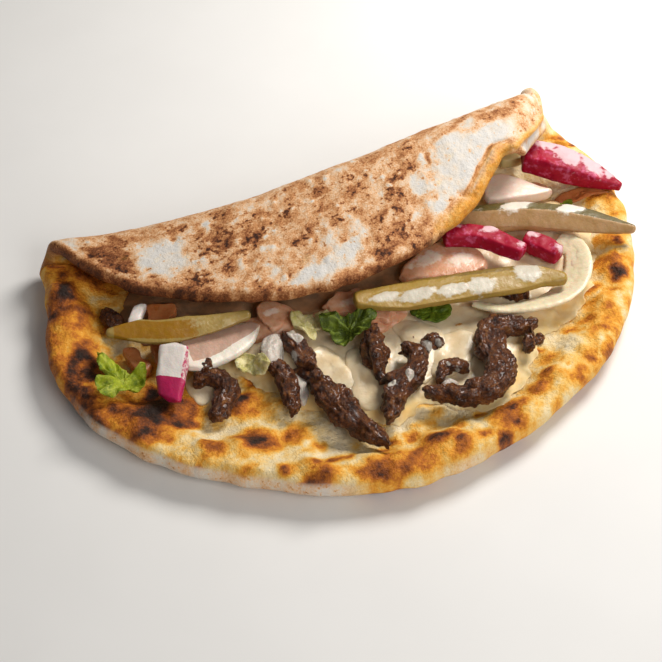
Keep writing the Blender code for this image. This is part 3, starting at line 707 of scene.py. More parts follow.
# %% [markdown]
# ## Where the bread is pale, golden, brown or burnt
#
# A maker knows a bread by its bake: cream, golden, orange-brown, brown, char. That is a single
# level, so each side gets one painted field for it, and a colour ramp turns the level into colour.
# A strong spot then shows a dark core with a golden fringe by itself, as real scorch marks do.
# The places were read off the bread; seeded small spots fill in between.

# %% Bake of the open half
# A place is (x, y, its two radii, its level) in all the tables of baked spots.
SCORCHES = (
    (-103, -20, 9, 12, 1.0), (-97, -6, 6, 6, 0.92), (-108, -30, 9, 6, 0.82), (-90, -14, 7, 9, 0.72),
    (-119, 22, 6, 9, 0.92), (-119, 9, 6, 7, 0.90), (-99, -15, 6, 10, 1.0), (-103, -25, 5, 5, 0.96),
    (-126, 45, 6, 8, 0.85), (-119, 45, 3, 3, 0.66),
    (-110, 45, 3, 3, 0.66), (-117, 36, 3, 3, 0.66), (-116, 40, 9, 14, 0.5), (-126, 0, 5, 22, 0.88),
    (-123, -15, 6, 14, 0.78), (-85, -15, 5, 5, 0.62), (-92, -28, 5, 4, 0.66), (-115, -14, 5, 5, 0.85),
    (-85, -47, 6, 5, 0.68), (-66, -46, 10, 8, 0.86), (-66, -46, 5, 4, 1.02),
    (-64, -21, 4, 4, 1.0), (-66, -24, 7, 7, 0.74), (-58, -14, 6, 5, 0.62), (-57, -24, 6, 12, 0.5),
    (-53, -46, 6, 5, 0.66), (-48, -43, 6, 5, 0.5), (-61, -66, 3, 2.4, 0.72), (-47, -66, 4, 3, 0.74),
    (-42, -54, 3, 2.4, 0.62), (-40, -68, 5, 3.4, 0.74), (-36, -76, 4, 2.6, 0.72),
    (-22, -67, 4.4, 3, 0.70), (-15, -62, 3.4, 2.6, 0.68), (-8, -64, 3.4, 2.6, 0.66),
    (-28, -80, 6, 3.5, 0.80), (0, -71, 9, 6, 0.84), (8, -78, 6, 4, 0.80), (-53, -75, 6, 4, 0.76),
    (-15, -47, 6, 5, 0.5), (22, -64, 2.6, 2.4, 0.66), (33, -66, 6, 5, 0.82), (31, -74, 4, 3, 0.90),
    (25, -78, 3.4, 2.8, 0.88), (18, -76, 4, 3, 0.66), (40, -65, 5, 4, 0.66), (48, -60, 6, 5, 0.72),
    (55, -54, 5, 4, 0.70), (60, -45, 6, 6, 0.5), (58, -38, 2.4, 2.4, 0.66), (74, -53, 5, 4, 0.74),
    (82, -40, 8, 7, 0.56), (85, -33, 6, 5, 0.60), (76, -33, 5, 5, 0.56), (88, -42, 5, 4, 0.60),
    (86, -51, 4, 3, 0.72), (95, -30, 4, 3, 0.66), (105, -13, 5, 5, 0.98), (108, -6, 5, 5, 0.68),
    (113, 3, 4, 3.4, 0.80),
    (95, -15, 4.5, 4, 0.64), (120, 35, 5, 6, 0.68), (123, 20, 4, 6, 0.5), (100, -22, 6, 4, 0.58),
    (116, -12, 5, 7, 0.6), (66, -60, 7, 4, 0.62), (12, -66, 4, 3, 0.6), (-75, -60, 7, 4, 0.5),
)
# Broad golden to orange-brown areas, on which the darker spots stand.
TOASTED_AREAS = (
    (-66, -46, 10, 8, 0.60), (-50, -48, 9, 7, 0.54), (-84, -44, 8, 6, 0.56), (-62, -22, 9, 6, 0.52),
    (-49, -73, 11, 7, 0.58), (-30, -77, 12, 6, 0.66), (-18, -78, 25, 11, 0.66), (4, -72, 11, 8, 0.58),
    (31, -72, 11, 11, 0.56), (53, -57, 6, 5, 0.52), (76, -50, 8, 5, 0.52), (86, -51, 6, 4, 0.56),
    (-99, -18, 24, 17, 0.77), (-90, -27, 10, 6, 0.74), (-119, 16, 8, 14, 0.80), (103, -4, 7, 7, 0.54),
    (92, -26, 12, 7, 0.46), (120, 76, 9, 12, 0.50), (124, 72, 4, 5, 0.74), (-120, -26, 8, 10, 0.66),
    (-125, 8, 5, 20, 0.76), (-122, 46, 7, 10, 0.64), (-90, -51, 7, 3, 0.52), (110, 10, 7, 6, 0.50),
)
PALE_BANDS = (
    (-85, -38, 8, 7, 0.30), (-103, -42, 9, 6, 0.30), (-100, 20, 10, 16, 0.16),
    (100, -22, 6, 5, 0.2), (65, -40, 9, 7, 0.16), (30, -58, 10, 5, 0.16), (110, 20, 9, 18, 0.16),
)
# Small brown spots all over: x, y, radius and level.
BROWN_COUNT = 120
BROWN_SPOTS = np.column_stack([scattered_bubbles(BROWN_COUNT, 1.0, 3.0),
                               rng.uniform(0.40, 0.60, BROWN_COUNT)])


def bent(place, coarse, fine, seed):
    """x and t moved about by two grains (height, size), so that no spot stays a circle."""
    bent_x = place[:, 0] + grains(place, (*coarse, seed), (*fine, seed + 1))
    bent_t = place[:, 1] + grains(place, (*coarse, seed + 2), (*fine, seed + 3))
    return bent_x, bent_t


def bake_of_open_half(x, t, inset):
    place = np.column_stack([x, t, np.zeros_like(x)])
    bent_x, bent_t = bent(place, (2.2, 9.0), (0.8, 3.0), 11)
    # The ground is a little browner at the rim, on the bubbles and towards both sides. At the left it is
    # much darker, partly a deeper bake and partly painted shade, as that side is turned from the light.
    base = 0.19 + grains(place, (0.15, 11.0, 15), (0.12, 4.6, 16))
    base = base + 0.11 * hump(inset, 5.0, 6.0) - spots_at(bent_x, bent_t, PALE_BANDS)
    base = base + 0.25 * rising(bent_x, -70, -30) + 0.05 * rising(bent_x, 60, 40)
    base = base + 0.13 * (small_bubbles(bent_x, t) - 0.45)
    # Thin creases are browner where the bread is golden already.
    crinkle = hump(grain(place, 7.0, 17), 0, 0.09)
    crinkle = np.maximum(crinkle, 0.8 * hump(grain(place, 3.4, 18), 0, 0.10))
    base = base + 0.10 * crinkle * rising(base, 0.22, 0.14)
    areas = patches_at(bent_x, bent_t, TOASTED_AREAS)
    areas = areas * (0.94 + grains(place, (0.13, 5.5, 33), (0.13, 2.6, 34)))
    grown = [(a, b, 1.28 * wide, 1.28 * deep, 1.06 * level) for a, b, wide, deep, level in SCORCHES]
    strong = spots_at(bent_x, bent_t, grown) + grains(place, (0.06, 2.4, 19), (0.05, 5.0, 20))
    small = [(a, b, 1.3 * size, 1.3 * size, level) for a, b, size, level in BROWN_SPOTS]
    weak = spots_at(bent_x, bent_t, small)
    return np.maximum(np.maximum(base, areas) + 0.14 * strong, np.maximum(strong, weak))


# %% Bake of the outer side
FLOUR_PATCHES = (
    (-111, 101, 9, 7, 1.0), (-78, 113, 14, 13, 1.2), (-70, 106, 8, 8, 0.9), (-53, 100, 4, 5, 0.9),
    (-42, 99, 4, 4, 0.8), (-20, 147, 20, 7, 1.2), (-5, 143, 10, 8, 1.1), (-9, 133, 8, 5, 0.8),
    (4, 137, 5, 7, 0.7), (-52, 136, 9, 4, 0.5), (-37, 137, 6, 4, 0.45), (36, 135, 6, 7, 0.9),
    (42, 147, 9, 7, 0.9), (60, 137, 24, 15, 1.4), (76, 131, 12, 12, 1.1), (55, 124, 12, 8, 1.0),
    (28, 146, 4, 3, 0.7), (0, 155, 8, 3, 0.7), (95, 143, 11, 6, 1.4), (106, 136, 8, 6, 1.4),
    (113, 128, 5, 5, 1.3),
    (104, 108, 8, 12, 0.4), (66, 119, 12, 4, 0.7), (5, 104, 10, 3, 0.4), (42, 126, 4, 8, 0.6),
)
BROWN_AREAS = (
    (-97, 106, 11, 11, 0.61), (-93, 112, 8, 8, 0.59), (-90, 98, 8, 5, 0.54), (-104, 104, 3, 4, 0.5),
    (-66, 129, 9, 5, 0.50), (-53, 126, 8, 6, 0.48), (-52, 111, 11, 8, 0.54), (-38, 114, 9, 6, 0.54),
    (-66, 97, 8, 4, 0.50), (-22, 126, 7, 4, 0.47), (-21, 112, 10, 6, 0.47), (-6, 109, 7, 5, 0.48),
    (12, 152, 15, 5, 0.54), (19, 146, 7, 6, 0.50), (14, 138, 5, 4, 0.48), (24, 132, 7, 6, 0.50),
    (30, 124, 9, 5, 0.48), (9, 118, 11, 7, 0.46), (22, 108, 14, 5, 0.44), (36, 114, 8, 4, 0.46),
    (-4, 127, 5, 4, 0.45), (-95, 125, 14, 4, 0.46), (-45, 121, 6, 3, 0.48), (-5, 138, 4, 2, 0.48),
    (82, 123, 12, 5, 0.50), (93, 120, 8, 3, 0.46), (75, 119, 6, 3, 0.46), (45, 124, 2, 5, 0.54),
    (80, 139, 3, 3, 0.52), (62, 151, 7, 3, 0.50), (70, 146, 5, 3, 0.48), (93, 98, 13, 5, 0.50),
    (-45, 98, 8, 4, 0.50), (-15, 98, 5, 4, 0.46), (-32, 107, 8, 4, 0.46), (50, 108, 14, 4, 0.44),
    (57, 117, 8, 2, 0.44), (-72, 132, 9, 3, 0.46), (-60, 104, 5, 4, 0.46),
)
GOLDEN_PLACES = (
    (45, 156, 12, 4, 0.9), (36, 157, 6, 3, 0.6), (57, 153, 6, 3, 0.6), (42, 137, 2, 2, 0.6),
    (52, 130, 2.4, 2, 0.6), (-78, 113, 1.6, 1.4, 0.5), (-67, 114, 1.6, 1.4, 0.5), (-22, 138, 4, 2, 0.4),
    (110, 131, 3, 4, 0.5), (-92, 108, 2, 2, 0.3),
)
SPECKLE_CLUSTERS = (
    (-66, 129, 7, 6, 0.9), (-52, 126, 4, 3, 0.9), (-58, 115, 5, 4, 1.0), (-52, 111, 4, 4, 0.9),
    (-47, 107, 5, 4, 1.2), (-39, 115, 5, 4, 1.0), (-33, 113, 4, 3, 0.9), (-45, 121, 4, 3, 0.9),
    (-38, 105, 4, 3, 0.9), (-59, 108, 3, 2.4, 0.9), (-23, 127, 3.4, 3, 1.0), (-16, 125, 4, 3, 1.0),
    (-26, 117, 3, 3, 0.8), (-38, 119, 3, 3, 0.8), (-20, 109, 3, 3, 0.8), (-17, 107, 3, 3, 0.8),
    (-6, 108, 3.4, 3, 0.9), (-64, 97, 4, 3, 0.9), (-70, 95, 4, 3, 0.9), (-47, 96, 4, 3, 0.9),
    (-14, 97, 3, 3, 0.7), (-2, 127, 4, 3, 0.9), (22, 148, 6, 4, 1.0), (13, 148, 4, 4, 0.9),
    (8, 153, 4, 3, 0.9), (24, 158, 3, 3, 0.8), (13, 138, 3, 3, 0.8), (23, 139, 4, 3, 0.9),
    (25, 130, 5, 4, 1.0), (29, 125, 4, 3, 1.0), (35, 122, 4, 3, 1.0), (4, 126, 3, 3, 0.8),
    (5, 118, 3, 3, 0.8), (10, 120, 3, 3, 0.8), (14, 115, 4, 3, 0.9), (28, 116, 3, 3, 0.8),
    (38, 114, 3, 3, 0.8), (9, 109, 4, 3, 1.1), (18, 104, 3, 3, 0.8), (27, 134, 3, 3, 0.8),
    (-95, 115, 4, 3, 1.1), (-97, 107, 6, 6, 0.5), (84, 122, 12, 3, 0.3),
)
# The brown line where the rolled edge lies on the flap.
ROLL_LINE = ((56, 155), (63, 152), (70, 147), (76, 143), (81, 139))


def bake_of_outer_side(x, t, inset, flap):
    """The level, the clusters of speckles, and where the edge is golden."""
    place = np.column_stack([x, t, np.zeros_like(x)])
    bent_x, bent_t = bent(place, (2.0, 7.0), (0.9, 2.6), 21)
    level = 0.355 + grains(place, (0.09, 10.0, 25), (0.09, 4.2, 26), (0.08, 2.2, 27))
    flour = smooth_step(1.25 * spots_at(bent_x, bent_t, FLOUR_PATCHES) - 0.25)
    level = level - 0.34 * flour * np.clip((inset - 1.0) / 4.0, 0.15, 1)
    brown = patches_at(bent_x, bent_t, BROWN_AREAS)
    brown = brown * (1.03 + grains(place, (0.16, 3.0, 28), (0.12, 1.8, 30)))
    roll_line = near_line(x, t, ROLL_LINE, 2.4) * (0.52 + 0.10 * grain(place, 2.2, 31))
    level = np.maximum(level, np.maximum(brown, roll_line))
    # The free edge is browner, most at the left, and the part that lies on the table is paler.
    edge = (0.10 + 0.09 * rising(x, -50, -20) + 0.08 * grain(place, 5.0, 29)) * (1 - rising(x, 78, 6))
    level = level + edge * hump(inset, 0, 4.5) * flap
    level = level - 0.3 * highest_dome(x, t, [(a, b, size, 1.0) for a, b, size in PALE_DOTS])
    level = level - 0.16 * (1 - flap)
    # The rolled stretch shows the golden side, with a brown outline where it ends.
    rolled = rolled_share(x) * flap
    crest = 1.2 * near_line(x, t, CREST_LINE[1:], 1.3)
    golden = np.maximum(spots_at(bent_x, bent_t, GOLDEN_PLACES), crest) * flap
    band = hump(np.maximum(inset, 4.5), 4.5, 3.6) * rolled
    golden = np.maximum(golden, band * (0.85 + 0.25 * grain(place, 4.0, 35)))
    outline = np.maximum(hump(inset, 8.5, 1.2) * rolled, near_line(x, t, FLAP_CRACK, 1.3))
    level = np.maximum(level, outline * (0.56 + 0.25 * grain(place, 3.0, 36)))
    # Painted shade: a thin dark line along the flap's free edge, where it turns under.
    level = level + 0.15 * hump(inset, 0, 1.3) * flap
    # Painted shade in the pits: each one is darker in its hollow.
    level = level + 0.6 * highest_dome(x, t, [(a, b, size, 1.0) for a, b, size, _ in FLAP_PITS])
    return level, spots_at(bent_x, bent_t, SPECKLE_CLUSTERS) * flap, smooth_step(golden)


# %% [markdown]
# ## Making the bread
#
# The mesh is a fine net of bearings and insets: close together at the rim, where the edge is
# round, even over the visible surface, and wider in the hidden middle. Both sides share one edge.

# %% Net of the bread
BEARINGS = 640
EDGE_INSETS = (0.12, 0.45, 0.95, 1.6, 2.4, 3.3, 4.3, 5.4, 6.6, 7.8)
EVEN_INSETS = np.arange(9.1, 62.0, 1.27)
INNER_RINGS = 12
MIDDLE_RADIUS = 4.0


def bread_net():
    bearing = np.linspace(0.0, math.tau, BEARINGS, endpoint=False)
    rings = [np.full(BEARINGS, inset) for inset in (*EDGE_INSETS, *EVEN_INSETS)]
    last_even = rings[-1]
    most = round_radius(bearing) + TUCK_LENGTH * tuck_share(bearing) - MIDDLE_RADIUS
    for share in np.linspace(0, 1, INNER_RINGS + 1)[1:]:
        rings.append(last_even * (1 - share) + most * share)
    inset = np.array(rings)
    return np.broadcast_to(bearing, inset.shape), inset


def make_bread():
    """The bread, with x, t, the flap share, the inset and the side of each of its points."""
    bearing, inset = bread_net()
    skin, x, t, flap = bread_surface(bearing[:1], np.zeros((1, BEARINGS)), 1)
    points = [skin.reshape(-1, 3)]
    fields = [(x.ravel(), t.ravel(), flap.ravel(), np.zeros(BEARINGS), np.zeros(BEARINGS))]
    faces = []
    for side in (1, -1):
        skin, x, t, flap = bread_surface(bearing, inset, side)
        start = sum(len(group) for group in points)
        points.append(skin.reshape(-1, 3))
        outer = np.full(inset.size, 1.0 if side < 0 else 0.0)
        fields.append((x.ravel(), t.ravel(), flap.ravel(), inset.ravel(), outer))
        half = []
        before = 0
        for here in range(start, start + inset.size, BEARINGS):
            half += ring_faces(before, here, BEARINGS)
            before = here
        half.append(tuple(range(before, before + BEARINGS)))
        faces += half if side > 0 else [face[::-1] for face in half]
    bread = new_object("bread", np.vstack(points), faces)
    return bread, *(np.concatenate(group) for group in zip(*fields))


bread, flat_x, flat_t, on_flap, from_edge, is_outer = make_bread()
print("bread:", len(bread.data.vertices), "points")

# %% Paint the bake on it
# Golden places of the outer side have the filled side's colour at this level.
GOLDEN_LEVEL = 0.46

open_bake = bake_of_open_half(flat_x, flat_t, from_edge)
outer_bake, speckle, golden = bake_of_outer_side(flat_x, flat_t, from_edge, on_flap)
open_bake = open_bake + is_outer * golden * (GOLDEN_LEVEL - open_bake)
paint(bread, "bake", open_bake)
paint(bread, "wall bake", outer_bake)
paint(bread, "speckle", speckle)
print("bake: from", round(open_bake.min(), 2), "to", round(open_bake.max(), 2))

# %% Where one side ends and the other begins
# At the front the floury wall of the rim shows below the toasted top.
bearing_deg = np.degrees(np.arctan2(flat_t - ROUND_Y, flat_x)) % 360
floury = rising(bearing_deg, 198, 12) * rising(bearing_deg, 257, -8)
floury = np.maximum(floury, 0.7 * hump(bearing_deg, 273, 4.0))
wrapped = on_flap * (1 - rising(from_edge, 1.0, 2.5))
wrapped = np.maximum(wrapped, 0.9 * floury * (1 - on_flap) * (1 - rising(from_edge, 0.4, 1.4)))
# Elsewhere the toasted top runs round the rim and down to the table.
turned = from_edge - 0.5 - 5.5 * (1 - floury)
plainly_outer = on_flap + (1 - on_flap) * np.maximum(rising(turned, 0, 3.0), floury)
paint(bread, "outer", np.where(is_outer > 0.5, plainly_outer, wrapped) * (1 - 0.85 * golden))
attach(bread, "root")
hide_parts("flatbread")


# %% [markdown]
# ## The bread's material
#
# Two colour ramps, one for each side, read the painted bake. Noise of one to four millimetres is
# added to the level before the ramp, not to the colour after it, so that the grain stays golden
# on golden parts and dark only where the bread is nearly burnt. The outer side's dark speckles,
# soot and husks, come the same way: noise that passes a limit only in their clusters.

# %% Bread material
FILLED_SIDE = (
    (0.00, (0.88, 0.76, 0.53)), (0.20, (0.88, 0.67, 0.34)), (0.34, (0.87, 0.52, 0.13)),
    (0.48, (0.80, 0.34, 0.030)), (0.62, (0.52, 0.155, 0.013)), (0.77, (0.23, 0.058, 0.009)),
    (0.88, (0.060, 0.018, 0.007)), (1.00, (0.020, 0.009, 0.005)),
)
OUTER_SIDE = (
    (0.00, (0.68, 0.65, 0.61)), (0.14, (0.72, 0.64, 0.54)), (0.29, (0.77, 0.49, 0.28)),
    (0.43, (0.58, 0.27, 0.105)), (0.60, (0.28, 0.092, 0.029)), (0.76, (0.115, 0.036, 0.013)),
    (1.00, (0.045, 0.017, 0.010)),
)


def bread_finish():
    finish = Finish("baked bread", Specular_IOR_Level=0.22)
    tree = finish.tree
    level = maths(tree, "ADD", finish.field("bake"), finish.noise(3.2, 0.10))
    level = maths(tree, "ADD", level, finish.noise(1.1, 0.10))
    clusters = maths(tree, "MULTIPLY", finish.field("speckle"), 0.6)
    dots = maths(tree, "ADD", finish.noise(2.0, 1.1), clusters)
    painted = finish.field("wall bake")
    # Flour is smooth, so it takes less of the grain.
    grainy = span(tree, painted, 0.10, 0.36, 0.25, 1.0)
    mottle = maths(tree, "ADD", finish.noise(3.4, 0.11), finish.noise(0.75, 0.19))
    wall = maths(tree, "ADD", painted, maths(tree, "MULTIPLY", mottle, grainy))
    wall = maths(tree, "ADD", wall, span(tree, dots, 0.20, 1.15, 0.0, 0.52))
    side = finish.field("outer")
    finish.colour(blend(tree, side, ramp(tree, level, FILLED_SIDE), ramp(tree, wall, OUTER_SIDE)))
    finish.roughness(span(tree, level, 0.2, 0.7, 0.74, 0.52))
    finish.bump(1.7, 0.55, 0.55, 0.30, span(tree, side, 0.0, 1.0, 1.0, 0.5, "LINEAR"))
    return finish.made


bread.data.materials.append(bread_finish())

# %% [markdown]
# ## Finer copies of the CAD pieces
#
# The filling's CAD solids have the right place and main form but flat facets. Each is copied and
# remeshed with voxels well under a millimetre, smoothed, and then roughened as its own stuff is:
# stringy for meat, bubbly for cheese, crisp for turnip.

# %% Fine copies
SOFTENING = 0.5


def fine_copy(node, name, voxel, smoothing):
    """The solid of a CAD node, remeshed with voxels of so many millimetres and smoothed."""
    rough = bpy.data.objects.new("rough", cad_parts[node].data.copy())
    scene.collection.objects.link(rough)
    remesh = rough.modifiers.new("even", "REMESH")
    remesh.mode = "VOXEL"
    remesh.voxel_size = voxel * MM
    soften = rough.modifiers.new("soft", "SMOOTH")
    soften.factor = SOFTENING
    soften.iterations = smoothing
    bpy.context.view_layer.update()
    evaluated = rough.evaluated_get(bpy.context.evaluated_depsgraph_get())
    mesh = bpy.data.meshes.new_from_object(evaluated)
    bpy.data.objects.remove(rough)
    mesh.name = name
    mesh.materials.clear()
    made = bpy.data.objects.new(name, mesh)
    scene.collection.objects.link(made)
    mesh.shade_smooth()
    return made


def reshape(made, move):
    """Lets the function `move` change the points of a piece; it is given the normals too."""
    points = points_of(made)
    move(points, normals_of(made))
    move_points(made, points)


def finish_piece(made, material, slot, *nodes):
    made.data.materials.append(material)
    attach(made, "root")
    if nodes:
        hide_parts(*nodes)


# %% Routes and a look below
ROUTE_POINTS = 160


def route_places(points, route):
    """For each point: its distance along the route, to its left, and the share of the length."""
    path = curve_through(route, ROUTE_POINTS)
    ahead = unit(np.gradient(path, axis=0))
    nearest = ((points[:, None, :2] - path[None]) ** 2).sum(axis=2).argmin(axis=1)
    steps = distance_along(path)
    offset = points[:, :2] - path[nearest]
    along = steps[nearest] + (offset * ahead[nearest]).sum(axis=1)
    left = ahead[nearest, 0] * offset[:, 1] - ahead[nearest, 1] * offset[:, 0]
    return along, left, along / steps[-1]


def search_tree(objects):
    """One search tree over several objects, in millimetres of the layout."""
    points = []
    faces = []
    for made in objects:
        start = sum(len(group) for group in points)
        points.append(points_of(made))
        faces += [[start + k for k in face.vertices] for face in made.data.polygons]
    return BVHTree.FromPolygons(np.vstack(points).tolist(), faces)


def height_below(tree, x, y, start=60.0):
    """Height of the first surface under each place, seen from above."""
    found = []
    for a, b, top in np.broadcast(x, y, start):
        spot = tree.ray_cast((float(a), float(b), float(top)), (0, 0, -1))[0]
        found.append(0.0 if spot is None else spot.z)
    return np.array(found)


BREAD_TREE = search_tree([bread])


# %% [markdown]
# ## The melted cheese
#
# Stretched cheese runs into the hollows of the bread, has a thin lobed edge, and climbs a little
# up every strip of meat that lies in it. So the copy's border is first moved in and out by noise,
# then the whole is thinned towards that border, and last it is raised close to the meat.

# %% Cheese shape
CHEESE_EDGE = (
    (-99, 40), (-96, 22), (-80, 8), (-60, -12), (-48, -26), (-44, -36), (-30, -41), (-20, -52),
    (-8, -54), (6, -50), (22, -62), (38, -59), (52, -46), (64, -32), (88, -22), (104, 2),
    (109, 26), (103, 46), (84, 60), (50, 64), (0, 62), (-50, 62), (-84, 60),
)
EDGE_POINTS = 400
# Its browned spots: (x, y, the two radii, the level).
CHEESE_TOASTED = (
    (-2, -20, 2.5, 5, 0.9), (16, -16, 4, 2, 0.8), (18, -36, 3, 4, 0.8), (30, -2, 2, 1.6, 0.7),
    (33, -14, 3, 1.6, 0.6), (28, -27, 4, 2, 0.6), (3, -36, 3, 3, 0.5), (50, -10, 3, 2, 0.6),
)
# The cheese climbs up these, when they are nearer than the reach.
WET_NODES = [*(f"beef_{number}" for number in range(1, 13)),
             *(f"tomato_{number}" for number in range(1, 7)), "onion_ring"]
CLIMB_REACH = 6.0


def edge_distance(points, outline):
    """Distance inwards from a closed outline, and the way out of it."""
    line = curve_through(outline, EDGE_POINTS, closed=True)
    offset = points[:, None, :2] - line[None]
    nearest = (offset ** 2).sum(axis=2).argmin(axis=1)
    ahead = np.roll(line, -1, axis=0) - line
    out = unit(np.column_stack([-ahead[:, 1], ahead[:, 0]]))
    if (out * (line - line.mean(axis=0))).sum() < 0:
        out = -out
    away = points[:, :2] - line[nearest]
    return -(away * out[nearest]).sum(axis=1), out[nearest]


def make_cheese():
    cheese = fine_copy("cheese", "melted_cheese", 1.05, 6)
    points = points_of(cheese)
    flat = points * (1, 1, 0)
    inside, out = edge_distance(points, CHEESE_EDGE)
    # The border wanders, except at the back, where it lies in the fold.
    shift = np.where(points[:, 1] > 45, 0.0, grains(flat, (2.4, 9.0, 31), (1.2, 4.0, 32)))
    points[:, :2] += out * (shift * hump(inside, 0, 7.0))[:, None]
    floor = height_below(BREAD_TREE, points[:, 0], points[:, 1], points[:, 2] + 2.0)
    height = points[:, 2] - floor
    top = rising(height, 0.8, 1.2)
    thin = 0.10 + 0.90 * rising(inside, -1.0, 12.0)
    lumps = grains(flat, (1.1, 14.0, 33), (0.5, 6.5, 34)) * rising(inside, 0, 6.0)
    points[:, 2] = floor + height * thin + top * lumps
    wet = search_tree([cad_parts[name] for name in WET_NODES])
    near = [wet.find_nearest(spot, CLIMB_REACH)[3] or CLIMB_REACH for spot in points.tolist()]
    points[:, 2] += top * 1.5 * hump(np.array(near), 0, 2.0)
    points[:, 2] = np.maximum(points[:, 2], floor + 0.05)
    move_points(cheese, points)
    paint(cheese, "toasted", spots_at(points[:, 0], points[:, 1], CHEESE_TOASTED))
    paint(cheese, "thin", 1 - rising(inside, 2.0, 13.0))
    # Painted shade: this field darkens the cheese towards the back, under the flap.
    paint(cheese, "stained", rising(points[:, 1], 4.0, 12.0) * rising(points[:, 0], 60, -30))
    return cheese


cheese = make_cheese()
print("cheese:", len(cheese.data.vertices), "points")


# %% Cheese material
def cheese_finish():
    finish = Finish("melted cheese", Subsurface_Weight=0.25, Subsurface_Scale=0.003,
                    Subsurface_Radius=(1.0, 0.7, 0.4))
    tree = finish.tree
    tone = span(tree, finish.noise(9.0), -0.8, 0.8, 0.0, 1.0)
    colour = blend(tree, tone, (0.74, 0.55, 0.31), (0.83, 0.70, 0.49))
    edge = finish.mask("thin", 4.0, 0.35, 0.30)
    edge_colour = blend(tree, tone, (0.78, 0.49, 0.15), (0.82, 0.66, 0.38))
    colour = blend(tree, edge, colour, edge_colour)
    colour = blend(tree, finish.mask("toasted", 1.6, 0.5, 0.2), colour, (0.62, 0.27, 0.05))
    # Painted shade: the part behind, under the flap, is darkened brown, partly a meat-juice stain and
    # mostly the shade of the pocket.
    juice = maths(tree, "MULTIPLY", finish.mask("stained", 5.0, 0.5, 0.35), 0.85)
    depth = span(tree, finish.noise(6.0), -0.6, 0.6, 0.0, 1.0)
    soaked = blend(tree, depth, (0.36, 0.14, 0.05), (0.13, 0.05, 0.02))
    finish.colour(finish.flecked(blend(tree, juice, colour, soaked)))
    gloss = span(tree, finish.noise(5.0), -1.0, 1.0, 0.24, 0.44)
    finish.roughness(maths(tree, "ADD", gloss, maths(tree, "MULTIPLY", edge, 0.28)))
    finish.bump(4.0, 1.2, 0.15, 0.12)
    return finish.made


cheese_look = cheese_finish()
finish_piece(cheese, cheese_look, "cheese", "cheese")

# %% [markdown]
# ## The strips of beef
#
# Shaved and seared beef is dark, fibrous and greasy, with knobs where fat has crisped. Fibres run
# along a strip, so their noise is measured along its route and squeezed across it. Some strips
# carry white sauce; it is a painted field that also thickens the surface a little.

# %% Beef shape
BEEF_ROUTES = (
    ((-81, -9), (-74, -8), (-69, -13), (-70, -19), (-72, -25), (-75, -30)),
    ((-42, 1), (-46, -3), (-48, -9), (-47, -15), (-46, -24), (-47, -32), (-49, -38)),
    ((-37, 1), (-35, -5), (-33, -11), (-31, -17)),
    ((-36, -25), (-34, -30), (-32, -36), (-30, -43), (-28, -51), (-25, -58), (-22, -65), (-20, -70)),
    ((-2, -8), (-6, -15), (-8, -23), (-7, -30)),
    ((3, -22), (7, -26), (7, -32), (1, -38), (-6, -42), (-9, -47), (-12, -52), (-15, -56)),
    ((61, -29), (54, -27), (47, -25), (41, -27), (38, -32), (37, -39), (37, -47), (34, -53),
     (28, -57), (21, -57), (14, -54), (8, -50), (4, -47)),
    ((12, -43), (16, -38), (21, -37), (25, -41)),
    ((55, -33), (54, -37), (51, -41)),
    ((14, -27), (15, -21), (20, -19), (20, -25)),
    ((46, 2), (53, -1), (59, -6), (62, -12)),
    ((-105, 44), (-103, 37), (-101, 28)),
)
BEEF_SAUCE = (
    (-46, -4, 6, 8, 1.2), (-37, -12, 2, 4, 0.8), (18, -38, 2, 2, 0.6), (-36, -26, 2, 3, 0.6),
    (17, -24, 5, 4, 1.0), (-12, -30, 3, 3, 0.5), (56, -3, 6, 3, 0.7), (20, -41, 2.4, 1.6, 1.0),
)
FIBRE_LENGTH = 7.0
FIBRE_WIDTH = 1.1


def move_beef_1(points):
    points[:, 0] -= 3.0 * rising(points[:, 1], -18, -10)


def move_beef_3(points):
    points[:, :2] = (-36, -8) + 1.2 * (points[:, :2] - (-34, -8))


# The first strip's near end is moved to the left; the third is moved and enlarged a little.
BEEF_MOVES = {1: move_beef_1, 3: move_beef_3}


def make_beef(number, route):
    beef = fine_copy(f"beef_{number}", f"beef_strip_{number}", 0.62, 5)
    points = points_of(beef)
    out = normals_of(beef)
    along, left, _ = route_places(points, route)
    fibres = np.column_stack([along / FIBRE_LENGTH, left / FIBRE_WIDTH, points[:, 2] / FIBRE_WIDTH])
    rise = grains(points, (0.85, 6.0, number), (0.45, 2.4, number + 20), (0.34, 1.3, number + 50))
    rise = rise + 0.65 * grain(fibres, 1.0, number + 40)
    rise = rise - 1.6 * np.maximum(grain(points, 4.0, number + 60) - 0.5, 0.0)
    # Under the sauce the meat is smoother and a little higher.
    sauce = spots_at(points[:, 0], points[:, 1], BEEF_SAUCE) * rising(out[:, 2], -0.6, 1.0)
    covered = smooth_step(2.0 * sauce - 0.4)
    rise = rise * (1 - 0.6 * covered) + 0.5 * covered
    points = points + out * rise[:, None]
    if number in BEEF_MOVES:
        BEEF_MOVES[number](points)
    move_points(beef, points)
    paint(beef, "sauce", sauce)
    paint(beef, "fibre", grain(fibres, 1.0, number + 80))
    return beef


# %% Beef material
SAUCE_WHITE = (0.66, 0.60, 0.52)
SEARED = (
    (0.00, (0.012, 0.003, 0.001)), (0.33, (0.085, 0.018, 0.002)), (0.58, (0.19, 0.050, 0.006)),
    (0.80, (0.32, 0.105, 0.018)), (1.00, (0.48, 0.22, 0.06)),
)


